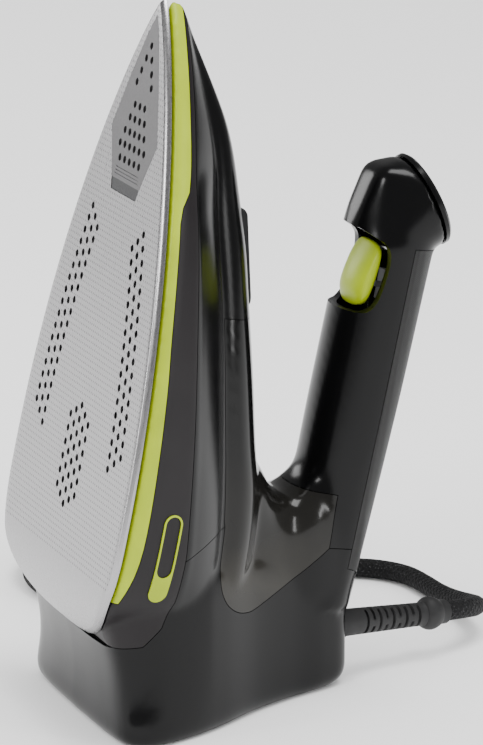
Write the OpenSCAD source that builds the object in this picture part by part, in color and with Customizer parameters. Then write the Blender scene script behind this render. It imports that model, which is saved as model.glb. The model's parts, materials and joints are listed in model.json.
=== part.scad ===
// Steam iron standing on its heel: nose up, soleplate to the front (-Y), handle to the rear (+Y).
// Millimetres. Origin: middle of the heel footprint, on the surface the iron stands on. +Z is up.
// Most pieces are drawn in the iron's own axes: X across, Y away from the soleplate, Z heel to nose.

/* [Stance] */
// Lean of the soleplate from upright, in degrees
tilt = 12; // [10:0.5:14]
// Height of the soleplate's heel edge above the surface
heel_lift = 41.4; // [38:0.2:46]
// How far the soleplate's heel edge stands in front of the foot
heel_reach = 14.2; // [12:0.2:18]

/* [Soleplate] */
// Length of the soleplate, heel edge to tip
sole_len = 240; // [200:1:290]
// Width of the soleplate's flat face
sole_w = 121.4; // [101:0.2:146]
// Thickness of the soleplate
sole_t = 2.6; // [2:0.1:3]
// Where the soleplate is widest, above its heel edge
wide_at = 50; // [42:1:60]
// Height and width of the bright bevel round the face
bevel = 1.6; // [1:0.1:1.8]
// Diameter of a steam hole
hole_d = 2.9; // [2:0.1:3.6]
// Distance between holes along a row
hole_pitch = 5.11; // [4.6:0.01:5.6]

/* [Body] */
// Greatest depth of the body behind the soleplate
body_depth = 74; // [68:1:80]
// Wall of the housings
wall = 2.4; // [2:0.1:3]
// Open slit between soleplate and skirt
slit = 1.2; // [1:0.1:1.6]
// How far the soleplate's heel end is rolled back
curl = 8; // [6:0.5:9]

/* [Handle] */
// Distance of the handle's middle line from the soleplate
handle_n = 112; // [110:1:118]
// Width of the handle
handle_w = 37; // [33:0.5:42]
// Thickness of the handle, front to back
handle_t = 35; // [32:0.5:38]
// Height of the handle's free end above the heel edge
handle_top = 162; // [156:1:176]

/* [Heel] */
// Length of the foot, front to rear
foot_len = 112; // [106:1:120]
// Width of the foot
foot_w = 109; // [94:1:118]
// Height of the foot's solid block below the tank
foot_h = 56; // [52:1:60]

/* [Trigger and buttons] */
// Length of the steam trigger
trigger_len = 27; // [24:1:29]
// Swing of the steam trigger, in degrees
trigger_swing = 6; // [3:0.5:7]
// Travel of the buttons on the end cap
button_travel = 1.2; // [0.8:0.1:1.4]
// Diameter of the round buttons on the end cap
button_d = 9; // [7:0.5:10]

/* [Filler door] */
// Length of the filler door
door_len = 40; // [34:1:42]
// Width of the filler door
door_w = 17; // [14:0.5:19]

/* [Cord] */
// Diameter of the braided cord
cord_d = 8; // [7:0.1:8.4]
// Diameter of the cord guard where it leaves the heel
guard_d = 11; // [10:0.2:12]
// Length of the segmented cord guard
guard_len = 39; // [34:1:44]

/* [Fits] */
// Clearance all round a piece that moves in an opening
gap = 0.4; // [0.3:0.05:0.6]
// Running clearance of a pin in its bore
run = 0.05; // [0.02:0.01:0.1]

/* [Hidden] */
$fn = 48;

black = [0.10, 0.10, 0.10];
dark_grey = [0.21, 0.20, 0.21];
lime = [0.74, 0.79, 0.20];
silver = [0.78, 0.77, 0.78];
steel = [0.62, 0.62, 0.64];
smoke = [0.16, 0.17, 0.16];
rubber = [0.07, 0.07, 0.07];
copper = [0.72, 0.45, 0.25];

// ---------------------------------------------------------------- curves

// index of the table row that starts the stretch holding t
function row(t, p, i = 0) = i >= len(p) - 2 || t < p[i + 1][0] ? i : row(t, p, i + 1);

// smooth value at t of a table of [station, value] rows
function curve(t, p) =
    let (i = row(t, p), a = p[i], b = p[i + 1], h = b[0] - a[0],
         before = i > 0 ? p[i - 1] : a, after = i < len(p) - 2 ? p[i + 2] : b,
         ma = (b[1] - before[1]) / (b[0] - before[0]) * h,
         mb = (after[1] - a[1]) / (after[0] - a[0]) * h,
         u = min(max((t - a[0]) / h, 0), 1))
    (2*u*u*u - 3*u*u + 1) * a[1] + (u*u*u - 2*u*u + u) * ma
    + (3*u*u - 2*u*u*u) * b[1] + (u*u*u - u*u) * mb;

// point at u (0 to 1) of a smooth open path through the points p
function along(u, p) =
    let (m = len(p) - 1, i = min(floor(u * m), m - 1), t = u * m - i,
         a = p[i], b = p[i + 1], before = i > 0 ? p[i - 1] : 2*a - b,
         after = i < m - 1 ? p[i + 2] : 2*b - a)
    a + t * ((b - before) / 2 + t * ((before - 2.5*a + 2*b - after/2)
    + t * (1.5*(a - b) + (after - before) / 2)));

// solid through a list of rings that all have the same number of points
module loft(rings) {
    m = len(rings[0]);
    last = (len(rings) - 1) * m;
    sides = [for (k = [0:len(rings) - 2]) for (i = [0:m - 1])
             let (j = (i + 1) % m, a = k*m + i, b = k*m + j)
             each [[a, a + m, b + m], [a, b + m, b]]];
    caps = [[for (i = [0:m - 1]) i], [for (i = [m - 1:-1:0]) last + i]];
    polyhedron([for (r = rings) each r], concat(caps, sides), convexity = 8);
}

// one smooth moulded skin out of lofted forms
module moulding() { resize([0, 0, 0]) children(); }

// round tube of diameter d along a smooth path through the points p
module tube(p, d, steps, sides = 10) {
    spots = [for (k = [0:steps]) along(k / steps, p)];
    loft([for (k = [0:steps])
        let (way = spots[min(k + 1, steps)] - spots[max(k - 1, 0)],
             t = way / norm(way), s = cross(t, [0, 0, 1]), side = s / norm(s), up = cross(side, t))
        [for (i = [0:sides - 1]) let (a = 360 * i / sides)
            spots[k] + d/2 * (cos(a) * side - sin(a) * up)]]);
}

// ---------------------------------------------------------------- places

front_y = -foot_len / 2;
sole_y = front_y - heel_reach;

// from the iron's own axes to the standing iron
module iron() { translate([0, sole_y, heel_lift]) rotate([-tilt, 0, 0]) children(); }

// from the standing iron back to the iron's own axes
module upright() { rotate([tilt, 0, 0]) translate([0, -sole_y, -heel_lift]) children(); }

// turns a shape drawn looking along the soleplate's normal (X across, Y up the sole) into place
module facing(n) { translate([0, n, 0]) rotate([90, 0, 0]) mirror([0, 0, 1]) children(); }

// side-view outline in [depth, height] pairs, cut right through the iron's width
module side_cut(points, wide = 160, shrink = 0) {
    rotate([90, 0, 90]) translate([0, 0, -wide / 2]) linear_extrude(wide)
        if (shrink == 0) polygon(points); else offset(delta = -shrink) polygon(points);
}

// ---------------------------------------------------------------- soleplate outline

heel_q = 0.68;                          // 1 is a round heel end, less is squarer
// half width of the sole at height s
function half_w(s) = s >= wide_at
    ? sole_w/2 * pow(max(1 - pow((s - wide_at) / (sole_len - wide_at), 2), 0), 0.88)
    : sole_w/2 * pow(max(1 - pow(min((wide_at - s) / wide_at, 1), 2 / heel_q), 0), heel_q / 2);

// right half of the outline, grown by g, from the heel's middle to the tip
function half_outline(g) = concat(
    [for (a = [90:-9:9])
        [(sole_w/2 + g) * pow(cos(a), heel_q), wide_at - (wide_at + g) * pow(sin(a), heel_q)]],
    [for (a = [0:5:90]) let (u = sin(a))
        [(sole_w/2 + g) * pow(max(1 - u*u, 0), 0.88), wide_at + (sole_len - wide_at + 1.3*g) * u]]);

function outline(g) =
    let (h = half_outline(g), m = len(h))
    concat(h, [for (i = [m - 2:-1:1]) [-h[i][0], h[i][1]]]);

// how far the sole's heel end is rolled back at height s, and the side view of the rolled sheet
curl_s = 22;
function rolled(s) = s < curl_s ? curl * pow(1 - s / curl_s, 2) : 0;
function roll_line(n, s0, s1, k) = [for (i = [0:k]) let (s = s0 + (s1 - s0) * i / k) [n + rolled(s), s]];

// ---------------------------------------------------------------- outer forms

nose = sole_len;                        // the tables below are shares of the sole's length
function up_sole(p) = [for (r = p) [r[0] * nose / 240, r[1]]];
slit_n = sole_t + slit;                 // where the skirt starts
back_tab = up_sole([[0, body_depth - 3], [30, body_depth], [61, body_depth - 1.5],
    [80, body_depth - 6.5], [104, 62], [135, 54.5], [155, 50], [177, 43], [190, 38.5], [200, 34],
    [210, 28], [220, 21.5], [230, 15], [240, 9.6]]);
lime_tab = up_sole([[20, 6.6], [33, 9.5], [47, 10.6], [75, 10.2], [105, 9.3], [121, 8.5],
    [157, 8.1], [168, 8.3], [176, 11.4], [205, 10.6], [226, 9.6], [244, 9]]);
split_tab = up_sole([[0, 30.5], [39, 30], [51, 28.7], [85, 24.7], [122, 20.4], [158, 17],
    [180, 14.5], [205, 13], [226, 11.4], [240, 9.8]]);
crease_tab = up_sole([[0, 54], [50, 50.5], [104, 42], [135, 37], [165, 31.5], [190, 27.5],
    [214, 19.5], [230, 13], [240, 9.4]]);
crest_tab = up_sole([[0, 40], [50, 39.5], [104, 33.5], [135, 28], [165, 20.5], [190, 15],
    [214, 8.5], [230, 4], [240, 1]]);

// cross-section of the body at height s, its skin moved in by t
function body_ring(s, t) =
    let (w = max(half_w(s) + 0.6 - t, 0.4), top = curve(s, back_tab) - t,
         n2 = min(curve(s, split_tab), top - 0.6), n1 = min(9, n2 - 0.3),
         w2 = max(min(0.945 * half_w(s) - t, w), 0.35), n3 = min(curve(s, crease_tab) - 0.6*t, top - 0.3),
         w3 = max(min(curve(s, crest_tab) - 0.8*t, w2), 0.3),
         half = concat(
            [[w, slit_n - (t > 0 ? 2 : 0)], [w, n1], [(w + w2)/2 + 0.3, (n1 + n2)/2], [w2, n2]],
            [for (u = [0.2:0.2:1]) [w2 + (w3 - w2)*u + 5*u*(1 - u)*w2/58, n2 + (n3 - n2)*u]],
            [for (u = [0.2:0.2:0.8])
                [w3*(1 - u*u) , n3 + (top - n3)*(1 - (1 - u)*(1 - u))]]))
    concat([for (p = half) [p[0], p[1], s]], [[0, top, s]],
           [for (i = [len(half) - 1:-1:0]) [-half[i][0], half[i][1], s]]);

module body_form(t = 0) {
    low = 2 + 2*max(t, 0);
    high = nose + 1.2 - 2.2*max(t, 0);
    loft([for (a = [0:4:92]) body_ring(low + (high - low) * sin(min(a, 90)) + (a > 90 ? 0.3 : 0), t)]);
}

// plan of the heel at height z, its skin moved in by t
plan = [[0, 0], [0.28, 0.004], [0.44, 0.02], [0.495, 0.07], [0.5, 0.15], [0.455, 0.277],
        [0.38, 0.41], [0.275, 0.57], [0.19, 0.74], [0.138, 0.88], [0.088, 0.968], [0, 1]];
edge_tuck = 3.2;                        // how far the foot's bottom edge is rounded in
waist = [[0, 0], [8, -0.01], [16, -0.05], [26, -0.055], [36, 0], [48, 0.07], [70, 0.09]];
function heel_ring(z, t, tuck) =
    let (flare = curve(z, waist), lean = -0.0036 * z * z + 0.03 * z,
         half = [for (k = [0:22]) let (q = along(k / 22, plan), y = q[1] * foot_len,
                 fwd = max(0, 1 - y/38))
             [q[0] * foot_w * (1 + flare * fwd), y + lean * fwd]],
         cy = 0.42 * foot_len, kx = (foot_w/2 - t - tuck) / (foot_w/2),
         right = [for (p = half) let (ky = 1 - (t + (p[1] > cy ? 2.4 : 1) * tuck) / (foot_len/2))
                  [p[0] * kx, front_y + cy + (p[1] - cy) * ky, z]])
    concat(right, [for (i = [21:-1:1]) [-right[i][0], right[i][1], z]]);

module heel_form(t = 0) {
    levels = [[t > 0 ? -1 : 0, edge_tuck], [0.8, 1.9], [2.2, 0.9], [4.4, 0.25], [8, 0], [14, 0], [24, 0],
              [34, 0], [44, 0], [foot_h - 2, 0.2], [foot_h + 6 - t, 2.5], [foot_h + 12 - t, 7]];
    upright() loft([for (v = levels) heel_ring(v[0], t, v[1])]);
}

// the saddle between body and handle
saddle_top = [[50, 40], [58, 62], [66, 72], [72, 72], [78, 64], [86, 58.5], [91, 61.5], [96, 68],
              [104, 66], [handle_n, 60], [handle_n + 8, 50]];
saddle_w = [[50, 38], [66, 29.5], [78, 25], [90, 21.5], [104, 19.3], [handle_n + 8, 15]];
module saddle_form(t = 0) {
    low = 6 + t;
    loft([for (k = [0:14])
        let (n0 = 54 + t + (handle_n + 6 - 54 - 2*t) * k / 14, top = curve(n0, saddle_top) - t,
             w = curve(n0, saddle_w) - t, c = (top + low) / 2, h = (top - low) / 2)
        [for (i = [0:27]) let (a = 360 * i / 28, ca = cos(a), sa = sin(a))
            [w * sign(sa) * pow(abs(sa), 0.7), n0, c + h * sign(ca) * pow(abs(ca), 0.7)]]]);
}

// the round bar of the handle, a little slimmer and nearer to the body at its lower end
bar_slim = [[0, 0.9], [30, 0.92], [99, 0.98], [150, 1], [175, 1.02]];
bar_mid = [[0, -3], [30, -1.8], [99, 0], [150, 0.8], [175, 1]];
module handle_form(t = 0, top = handle_top) {
    low = 16 + t;
    loft([for (k = [0:8])
        let (s = low + (top + (t > 0 ? 1 : 0) - low) * k / 8, slim = curve(s, bar_slim), mid = curve(s, bar_mid))
        [for (i = [0:31]) let (a = 360 * i / 32, ca = cos(a), sa = sin(a))
            [(handle_w/2 * slim - t) * sign(ca) * pow(abs(ca), 0.9),
             handle_n + mid + (handle_t/2 * slim - t) * sign(sa) * pow(abs(sa), 0.9), s]]]);
}

module outer_form(t = 0) {
    body_form(t);
    heel_form(t);
    saddle_form(t);
    handle_form(t);
}

// the part of the outer skin inside one side-view outline
module panel(points, t = wall) {
    moulding() intersection() {
        difference() {
            outer_form(0);
            outer_form(t);
        }
        side_cut(points);
    }
}

// ---------------------------------------------------------------- parting lines in side view

function line_up(p, s0, s1, k) = [for (i = [0:k]) let (s = s0 + (s1 - s0) * i / k) [curve(s, p), s]];
lime_low = 20;
panel_low = [51, 50];                   // where side panel, tank and heel meet
panel_front = [30, 39];                 // where housing, side panel and heel meet
door_low = 129 * nose / 240;            // lower end of the filler door
tank_high = door_low - 1;
shoulder = 62;                          // where the handle leaves the saddle
grip_n = handle_n + 5;                  // seam between inner and outer handle shells

skirt_line = concat([[slit_n, lime_low]], line_up(lime_tab, lime_low, nose + 4, 30),
                    [[slit_n, nose + 4]]);
housing_line = concat([[slit_n + curl + 1, 0], [22, 3], [28, 11], [30.5, 22]],
    [panel_front], line_up(split_tab, 42, nose + 4, 22), line_up(lime_tab, nose + 4, lime_low, 30),
    roll_line(slit_n, lime_low, 0, 8));
upper_line = concat([panel_front], line_up(split_tab, 42, nose + 4, 22), [[88, nose + 4],
    [88, tank_high]], line_up(crease_tab, tank_high, 52, 10), [panel_low]);
tank_edge = [[106, 41], [101, 36], [92, 28], [76, 18], [69, 16], [62, 17.5], [56, 22], [52.5, 30]];
tank_line = concat([panel_low], line_up(crease_tab, 52, tank_high, 10), [[88, tank_high],
    [88, shoulder], [106, shoulder]], tank_edge);
inner_line = [[88, shoulder], [106, shoulder], [106, 41], [grip_n, 41], [grip_n, handle_top],
              [88, handle_top]];
grip_line = [[grip_n, 33], [150, 24], [150, handle_top], [grip_n, handle_top]];
heel_line = concat([panel_low], [for (i = [len(tank_edge) - 1:-1:0]) tank_edge[i]],
    [[grip_n, 41], [grip_n, 33], [150, 24], [180, -70], [-60, -70], [-30, -12], [slit_n, -4],
     [slit_n + curl, -1], [slit_n + curl + 1, 0], [22, 3], [28, 11], [30.5, 22], panel_front]);

// ---------------------------------------------------------------- soleplate group

function up(s) = s * nose / 240;        // a height given for a 240 mm sole
insert_half = [[0, 235], [3.6, 230.5], [9, 221], [15.2, 208.5], [20.8, 196], [24.2, 188.3], [14.6, 169.6],
               [13.2, 165.2]];
insert_line = concat([for (p = insert_half) [p[0], up(p[1])]],
                     [for (i = [7:-1:1]) [-insert_half[i][0], up(insert_half[i][1])]]);
insert_t = 1.2;
hole_depth = sole_t + 2;

// steam holes of the flat face: three curved columns each side and a hexagon near the heel
column_starts = [[30.6, 107.6, 1.108], [35.3, 111.1, 1.167], [40, 114.6, 1.226]];
side_holes = [for (c = column_starts) for (i = [-8:8])
    [c[0] + c[2] * i - 0.0424 * i * i, up(c[1]) - i * hole_pitch]];
hex_cols = [[-2, 6], [-1, 7], [0, 8], [1, 7], [2, 6]];
hex_holes = [for (c = hex_cols) for (k = [0:c[1] - 1])
    [c[0] * 4.81, up(63) + (c[1] - 1) * 2.79 - k * 5.58]];
nose_holes = concat([[0, up(223)]], [for (p = [[2.8, 217.9], [5.3, 212.8], [7.6, 207.9]]) each
    [[-p[0], up(p[1])], [p[0], up(p[1])]]]);
grid_holes = [for (r = [[3, 199.5], [4, 194.1], [5, 188.7], [6, 183.4], [5, 178]]) for (i = [0:r[0] - 1])
    [(i - (r[0] - 1) / 2) * 5.06, up(r[1])]];

module holes(list, d, depth) {
    for (h = list) translate([h[0], -1, h[1]]) rotate([-90, 0, 0]) cylinder(d = d, h = depth);
}

// flat face with a bevelled rim, its heel end rolled back towards the foot
module soleplate() color(silver) iron() difference() {
    intersection() {
        union() {
            facing(0) linear_extrude(bevel) polygon(outline(-0.4));
            facing(bevel) linear_extrude(sole_t - bevel) polygon(outline(1));
            facing(0.6) linear_extrude(sole_t + curl) intersection() {
                polygon(outline(1));
                translate([-sole_w, -5]) square([2*sole_w, curl_s + 5]);
            }
        }
        side_cut(concat(roll_line(0, 0, curl_s, 12), [[0, nose + 9], [sole_t, nose + 9]],
                        roll_line(sole_t, curl_s, 0, 12), [[sole_t + curl, -3], [curl, -3]]));
    }
    facing(-1) linear_extrude(1 + insert_t) polygon(insert_line);
    holes(concat(side_holes, [for (h = side_holes) [-h[0], h[1]]], hex_holes, nose_holes, grid_holes),
          hole_d, hole_depth);
}

// darker tip plate with three small steps above its dark lower band
module tip_insert() color(steel) iron() difference() {
    facing(0) linear_extrude(insert_t) offset(delta = -0.2) polygon(insert_line);
    holes(concat(nose_holes, grid_holes), hole_d, hole_depth);
    for (k = [0:2]) translate([-12.4 + 0.3*k, -1, up(171.5 + 1.3*k)]) cube([24.8 - 0.6*k, 1.3, 0.4]);
    translate([-30, -1, up(160)]) cube([60, 1.15, up(9.8)]);
}

// cast steam chamber on the back of the soleplate, with the groove for the heating element
chamber_n = sole_t;
chamber_t = 10;
chamber_in = -9;
chamber_low = 24;
chamber_len = up(182);
element_d = 7;
element_r = 24;
element_s = 150;
element_n = chamber_n + 5.2;
module element_path(d, over = 0) {
    translate([0, element_n, element_s]) rotate([90, 0, 0])
        rotate_extrude(angle = 180) translate([element_r, 0]) circle(d = d);
    for (x = [-element_r, element_r]) translate([x, element_n, chamber_low + 6 - over])
        cylinder(d = d, h = element_s - chamber_low - 6 + over);
}
module steam_chamber() color(steel) iron() difference() {
    intersection() {
        facing(chamber_n) linear_extrude(chamber_t) polygon(outline(chamber_in));
        translate([-90, 0, chamber_low]) cube([180, 30, chamber_len]);
    }
    element_path(element_d + 0.4, 30);
    for (x = [-element_r, element_r])
        translate([x - element_d/2 - 0.2, element_n, chamber_low - 1]) cube([element_d + 0.4, 10, element_s - chamber_low + 1]);
    translate([-15, chamber_n + 3, 40]) cube([30, 10, 112]);
    translate([0, chamber_n + 3, 158]) rotate([-90, 0, 0]) cylinder(d = 20, h = 10);
}
module chamber_cover() color(steel) iron() difference() {
    facing(chamber_n + chamber_t) linear_extrude(1.2) intersection() {
        polygon(outline(chamber_in - 1));
        translate([-80, chamber_low + 3]) square([160, chamber_len - 5]);
    }
    translate([0, chamber_n, valve_s]) rotate([-90, 0, 0]) cylinder(d = 6, h = 20);
}
module heating_element() color(copper) iron() {
    element_path(element_d);
    for (x = [-element_r, element_r]) translate([x, element_n, chamber_low - 4]) cylinder(d = 3, h = 13);
}
cover_n = chamber_n + chamber_t + 1.2;
module thermostat() color("gainsboro") iron() translate([-18, cover_n, 96]) {
    rotate([-90, 0, 0]) cylinder(d = 15, h = 5);
    translate([-3, 5, -4]) cube([6, 0.8, 12]);
}
module thermal_fuse() color("white") iron() translate([18, cover_n + 2, 86]) {
    cylinder(d = 4, h = 14);
    translate([0, 0, -8]) cylinder(d = 1, h = 8);
    translate([0, 0, 14]) cylinder(d = 1, h = 8);
    translate([-3, -2, 4]) cube([6, 0.9, 6]);
}

// plate that keeps the heat away from tank and electronics
shield_n = cover_n + 7;
shield_t = 1.4;
valve_s = 168;
module heat_shield() color("slategray") iron() difference() {
    union() {
        facing(shield_n) linear_extrude(shield_t) intersection() {
            polygon(outline(-13));
            translate([-80, 26]) square([160, up(146)]);
        }
        for (x = [-34, 34]) for (s = [60, 110]) translate([x, cover_n, s]) rotate([-90, 0, 0])
            cylinder(d = 6, h = shield_n - cover_n);
        for (s = [34, up(156)]) translate([0, cover_n, s]) rotate([-90, 0, 0]) cylinder(d = 6, h = shield_n - cover_n);
    }
    translate([0, cover_n, valve_s]) rotate([-90, 0, 0]) cylinder(d = 14, h = 30);
}

// ---------------------------------------------------------------- outer shells

module skirt() color(lime) iron() panel(skirt_line);
module lower_housing() color(dark_grey) iron() panel(housing_line);

// opening for the filler door, at height s above the heel edge
door_s = door_low + door_len / 2;
door_n = curve(door_s, back_tab);
door_tilt = atan2(curve(door_low, back_tab) - curve(door_low + door_len, back_tab), door_len);
door_t = 3;
module door_place() { translate([0, door_n, door_s]) rotate([door_tilt, 0, 0]) children(); }
module round_slab(w, l, t, r) {
    for (x = [-w/2 + r, w/2 - r]) for (z = [-l/2 + r, l/2 - r])
        translate([x, 0, z]) rotate([-90, 0, 0]) cylinder(r = r, h = t);
    translate([-w/2, 0, -l/2 + r]) cube([w, t, l - 2*r]);
    translate([-w/2 + r, 0, -l/2]) cube([w - 2*r, t, l]);
}
spray_n = 20.4;
spray_s = 211.6 * nose / 240;
spray_tilt = 48;
spray_d = 7;
module upper_body() color(black) iron() moulding() difference() {
    panel(upper_line);
    door_place() translate([0, -8, 0]) {
        round_slab(door_w + 2*gap, door_len + 2*gap, 20, 5);
        translate([-door_w/2 - gap, 0, 0]) cube([door_w + 2*gap, 20, door_len/2 + gap]);
    }
    translate([0, spray_n - 8, spray_s]) rotate([-spray_tilt, 0, 0]) cylinder(d = spray_d + 0.6, h = 34);
}

// raised trim on the housing's flanks: a pill outline with its lower third filled
pill_r = 4;
module pill(shrink, low, high) {
    for (z = [low, high]) translate([-200, 21.2, z]) rotate([0, 90, 0]) cylinder(r = pill_r - shrink, h = 400, $fn = 24);
    translate([-200, 21.2 - pill_r + shrink, low]) cube([400, 2*(pill_r - shrink), high - low]);
}
module side_badges() color(lime) iron() moulding() difference() {
    intersection() {
        outer_form(-0.8);
        pill(0, 26, 53);
    }
    outer_form(0);
    pill(0.9, 36, 53);
}

// ---------------------------------------------------------------- tank and water system

module water_tank() color(smoke) iron() moulding() difference() {
    intersection() {
        outer_form(0);
        side_cut(tank_line);
    }
    intersection() {
        outer_form(wall);
        side_cut(tank_line, shrink = wall);
    }
    translate([0, 58, 110]) cube([8, 8, 40], center = true);
}

// neck that leads the water down from the opening, its flange lying in the opening
neck_d = 10;
neck_z = -4;
module filler_neck() color(rubber) iron() door_place() difference() {
    union() {
        translate([-door_w/2 - 0.2, -3.4, 4.8 - door_len/2]) cube([door_w + 0.4, 1, door_len - 5.8 - 2*knuckle_r]);
        translate([0, -13, neck_z]) rotate([-90, 0, 0]) cylinder(d = neck_d + 3, h = 10.6);
    }
    translate([0, -14, neck_z]) rotate([-90, 0, 0]) cylinder(d = neck_d, h = 16);
}
pin_d = 2;
door_face = 1.4;                        // how far the door stands proud
hinge_n = -2.8;
knuckle_r = door_face - hinge_n;
hinge_z = door_len/2 - knuckle_r;
module filler_door() color(black) iron() door_place() difference() {
    union() {
        translate([0, door_face - door_t, -knuckle_r/2]) round_slab(door_w, door_len - knuckle_r, door_t, 4.6);
        translate([-door_w/2, door_face - door_t, 0]) cube([door_w, door_t, hinge_z]);
        translate([-door_w/2, hinge_n, hinge_z]) rotate([0, 90, 0]) cylinder(r = knuckle_r, h = door_w);
        translate([0, -5.6, neck_z]) rotate([-90, 0, 0]) cylinder(d = neck_d - 0.8, h = 4.4);
    }
    translate([-20, hinge_n, hinge_z]) rotate([0, 90, 0]) cylinder(d = pin_d + 2*run, h = 40);
}
module filler_pin() color(steel) iron() door_place()
    translate([-door_w/2 - 1.8, hinge_n, hinge_z]) rotate([0, 90, 0]) cylinder(d = pin_d, h = door_w + 3.6);

module spray_nozzle() color(dark_grey) iron() translate([0, spray_n - 8, spray_s]) rotate([-spray_tilt, 0, 0]) difference() {
    union() {
        translate([0, 0, 3]) cylinder(d = spray_d, h = 8);
        translate([0, 0, -3]) cylinder(d = 4, h = 6.5);
    }
    translate([0, 0, -4]) cylinder(d = 1.6, h = 20);
    translate([0, 0, 9.4]) cylinder(d1 = 1.8, d2 = 4.4, h = 1.8);
}

deck_n = shield_n + shield_t;           // the deck that the water system and electronics stand on
pump_x = 14;
pump_d = 12;
pump_low = 118;
pump_len = 32;
pump_n = deck_n + pump_d/2;
valve_d = 10;
hose_d = 4;
module water_pump() color("dimgray") iron() {
    translate([pump_x, pump_n, pump_low]) cylinder(d = pump_d, h = pump_len);
    translate([pump_x - 7, deck_n, pump_low + 4]) cube([14, 3, 20]);
    translate([pump_x, pump_n, pump_low + pump_len]) cylinder(d = 3.4, h = 3);
    translate([pump_x - pump_d/2 - 2.5, pump_n, pump_low + 17]) rotate([0, 90, 0]) cylinder(d = 3.4, h = 4);
}
module dosing_valve() color("dimgray") iron() translate([0, cover_n, valve_s]) rotate([-90, 0, 0]) {
    cylinder(d = valve_d, h = 16);
    translate([0, 0, 16]) cylinder(d = 6, h = 4);
}
module spray_hose() color("gainsboro") iron() tube([[pump_x, pump_n, pump_low + pump_len + 3.1],
    [12.5, 27, 163], [8.5, 26.2, 178], [4, 24.6, 190], [1, 20.2, 199.5], [0, 15.6, 206.6],
    [0, spray_n - 10.35, spray_s - 2.2]], hose_d, 18);
module dosing_hose() color("gainsboro") iron() tube([[pump_x - pump_d/2 - 2.6, pump_n, pump_low + 17],
    [5, pump_n, 136.5], [2.2, pump_n, 143], [0.6, pump_n, 152], [0, pump_n, valve_s - valve_d/2 - 0.1]],
    hose_d, 10);
board_low = 52;
module control_board() color("darkgreen") iron() difference() {
    union() {
        translate([-32, deck_n, board_low]) cube([38, 1.6, 60]);
        translate([-24, deck_n + 1.6, board_low + 8]) cube([15, 9, 18]);
        translate([-6, deck_n + 1.6, board_low + 36]) rotate([-90, 0, 0]) cylinder(d = 9, h = 11);
        translate([-28, deck_n + 1.6, board_low + 40]) cube([12, 4, 12]);
    }
    for (x = [-29, 3]) for (z = [3, 57]) translate([x, deck_n - 1, board_low + z]) rotate([-90, 0, 0])
        cylinder(d = 2.6, h = 4);
}
module board_screws() color(steel) iron()
    for (x = [-29, 3]) for (z = [3, 57]) translate([x, deck_n, board_low + z]) rotate([-90, 0, 0]) {
        cylinder(d = 2.5, h = 1.6);
        translate([0, 0, 1.6]) cylinder(d = 4.6, h = 1.4);
    }

// ---------------------------------------------------------------- handle

pivot_n = handle_n + 3;
pivot_s = handle_top - 4;
pivot_d = 2.5;
// side view of the opening for the trigger, and of the trigger in it
low_s = handle_top - trigger_len;
opening_line = [[80, low_s - 3.2], [handle_n - 11, low_s - 2.9], [handle_n - 5.5, low_s - 1.4],
    [handle_n - 1.4, low_s + 4], [handle_n + 0.6, low_s + 12], [handle_n + 0.9, handle_top - 8],
    [handle_n - 0.5, handle_top - 2.6], [handle_n - 4.5, handle_top + 1], [80, handle_top + 1]];
trigger_line = [[handle_n - 9.6, low_s + 2], [handle_n - 9.7, low_s + 9],
    [handle_n - 7.8, handle_top - 3], [handle_n - 6.6, handle_top - 0.9],
    [handle_n - 3.4, handle_top - 3.7], [handle_n - 2.4, handle_top - 7.5],
    [handle_n - 2.9, low_s + 13], [handle_n - 4.2, low_s + 4.5], [handle_n - 6, low_s + 1.2],
    [handle_n - 9.2, low_s + 0.2]];
module handle_inner() color(black) iron() difference() {
    moulding() difference() {
        panel(inner_line);
        side_cut(opening_line);
    }
    translate([-handle_w/2 + 1, pivot_n, pivot_s]) rotate([0, 90, 0]) cylinder(d = pivot_d, h = handle_w - 2);
}
module handle_grip() color(rubber) iron() panel(grip_line);
trigger_w = handle_w - 9;
module trigger() color(lime) iron() difference() {
    union() {
        moulding() difference() {
            intersection() {
                handle_form(0.15);
                side_cut(trigger_line, trigger_w);
            }
            translate([-10, handle_n - 7, low_s + 5]) cube([20, 10, trigger_len - 16]);
        }
        translate([-6, pivot_n, pivot_s]) rotate([0, 90, 0]) cylinder(d = 6.6, h = 12);
        translate([-6, handle_n - 6, pivot_s - 3]) cube([12, 9, 4.4]);
    }
    translate([-8, pivot_n, pivot_s]) rotate([0, 90, 0]) cylinder(d = pivot_d + 2*run, h = 16);
}
module trigger_pin() color(steel) iron()
    translate([-handle_w/2 + 1.4, pivot_n, pivot_s]) rotate([0, 90, 0]) cylinder(d = pivot_d, h = handle_w - 2.8);
wire_d = 0.8;
spring_r = pivot_d/2 + 0.35;
// close-wound torsion spring: a sleeve grooved between its turns, and its two legs
module trigger_spring() color(steel) iron() translate([6.4, pivot_n, pivot_s]) {
    rotate([0, 90, 0]) rotate_extrude() polygon([[spring_r, 0], [spring_r + wire_d, 0],
        for (k = [0:2]) each [[spring_r + wire_d, 0.8*k + 0.65], [spring_r + 0.5, 0.8*k + 0.75],
                              [spring_r + 0.5, 0.8*k + 0.85], [spring_r + wire_d, 0.8*k + 0.95]],
        [spring_r + wire_d, 3.2], [spring_r, 3.2]]);
    translate([2.7, 0, -spring_r - wire_d/2]) rotate([-90, 0, 0]) cylinder(d = 0.7, h = 9.5);
    translate([0.45, 0, spring_r + wire_d/2]) rotate([90, 0, 0]) cylinder(d = 0.7, h = 3.6);
}
switch_s = low_s + 9;
module trigger_switch() color("darkslategray") iron() {
    translate([-3.5, handle_n + 1.6, switch_s - 6]) cube([7, handle_t/2 - wall - 1.4, 12]);
    translate([0, handle_n - 0.6, switch_s]) rotate([-90, 0, 0]) cylinder(d = 2.4, h = 3);
}

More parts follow.
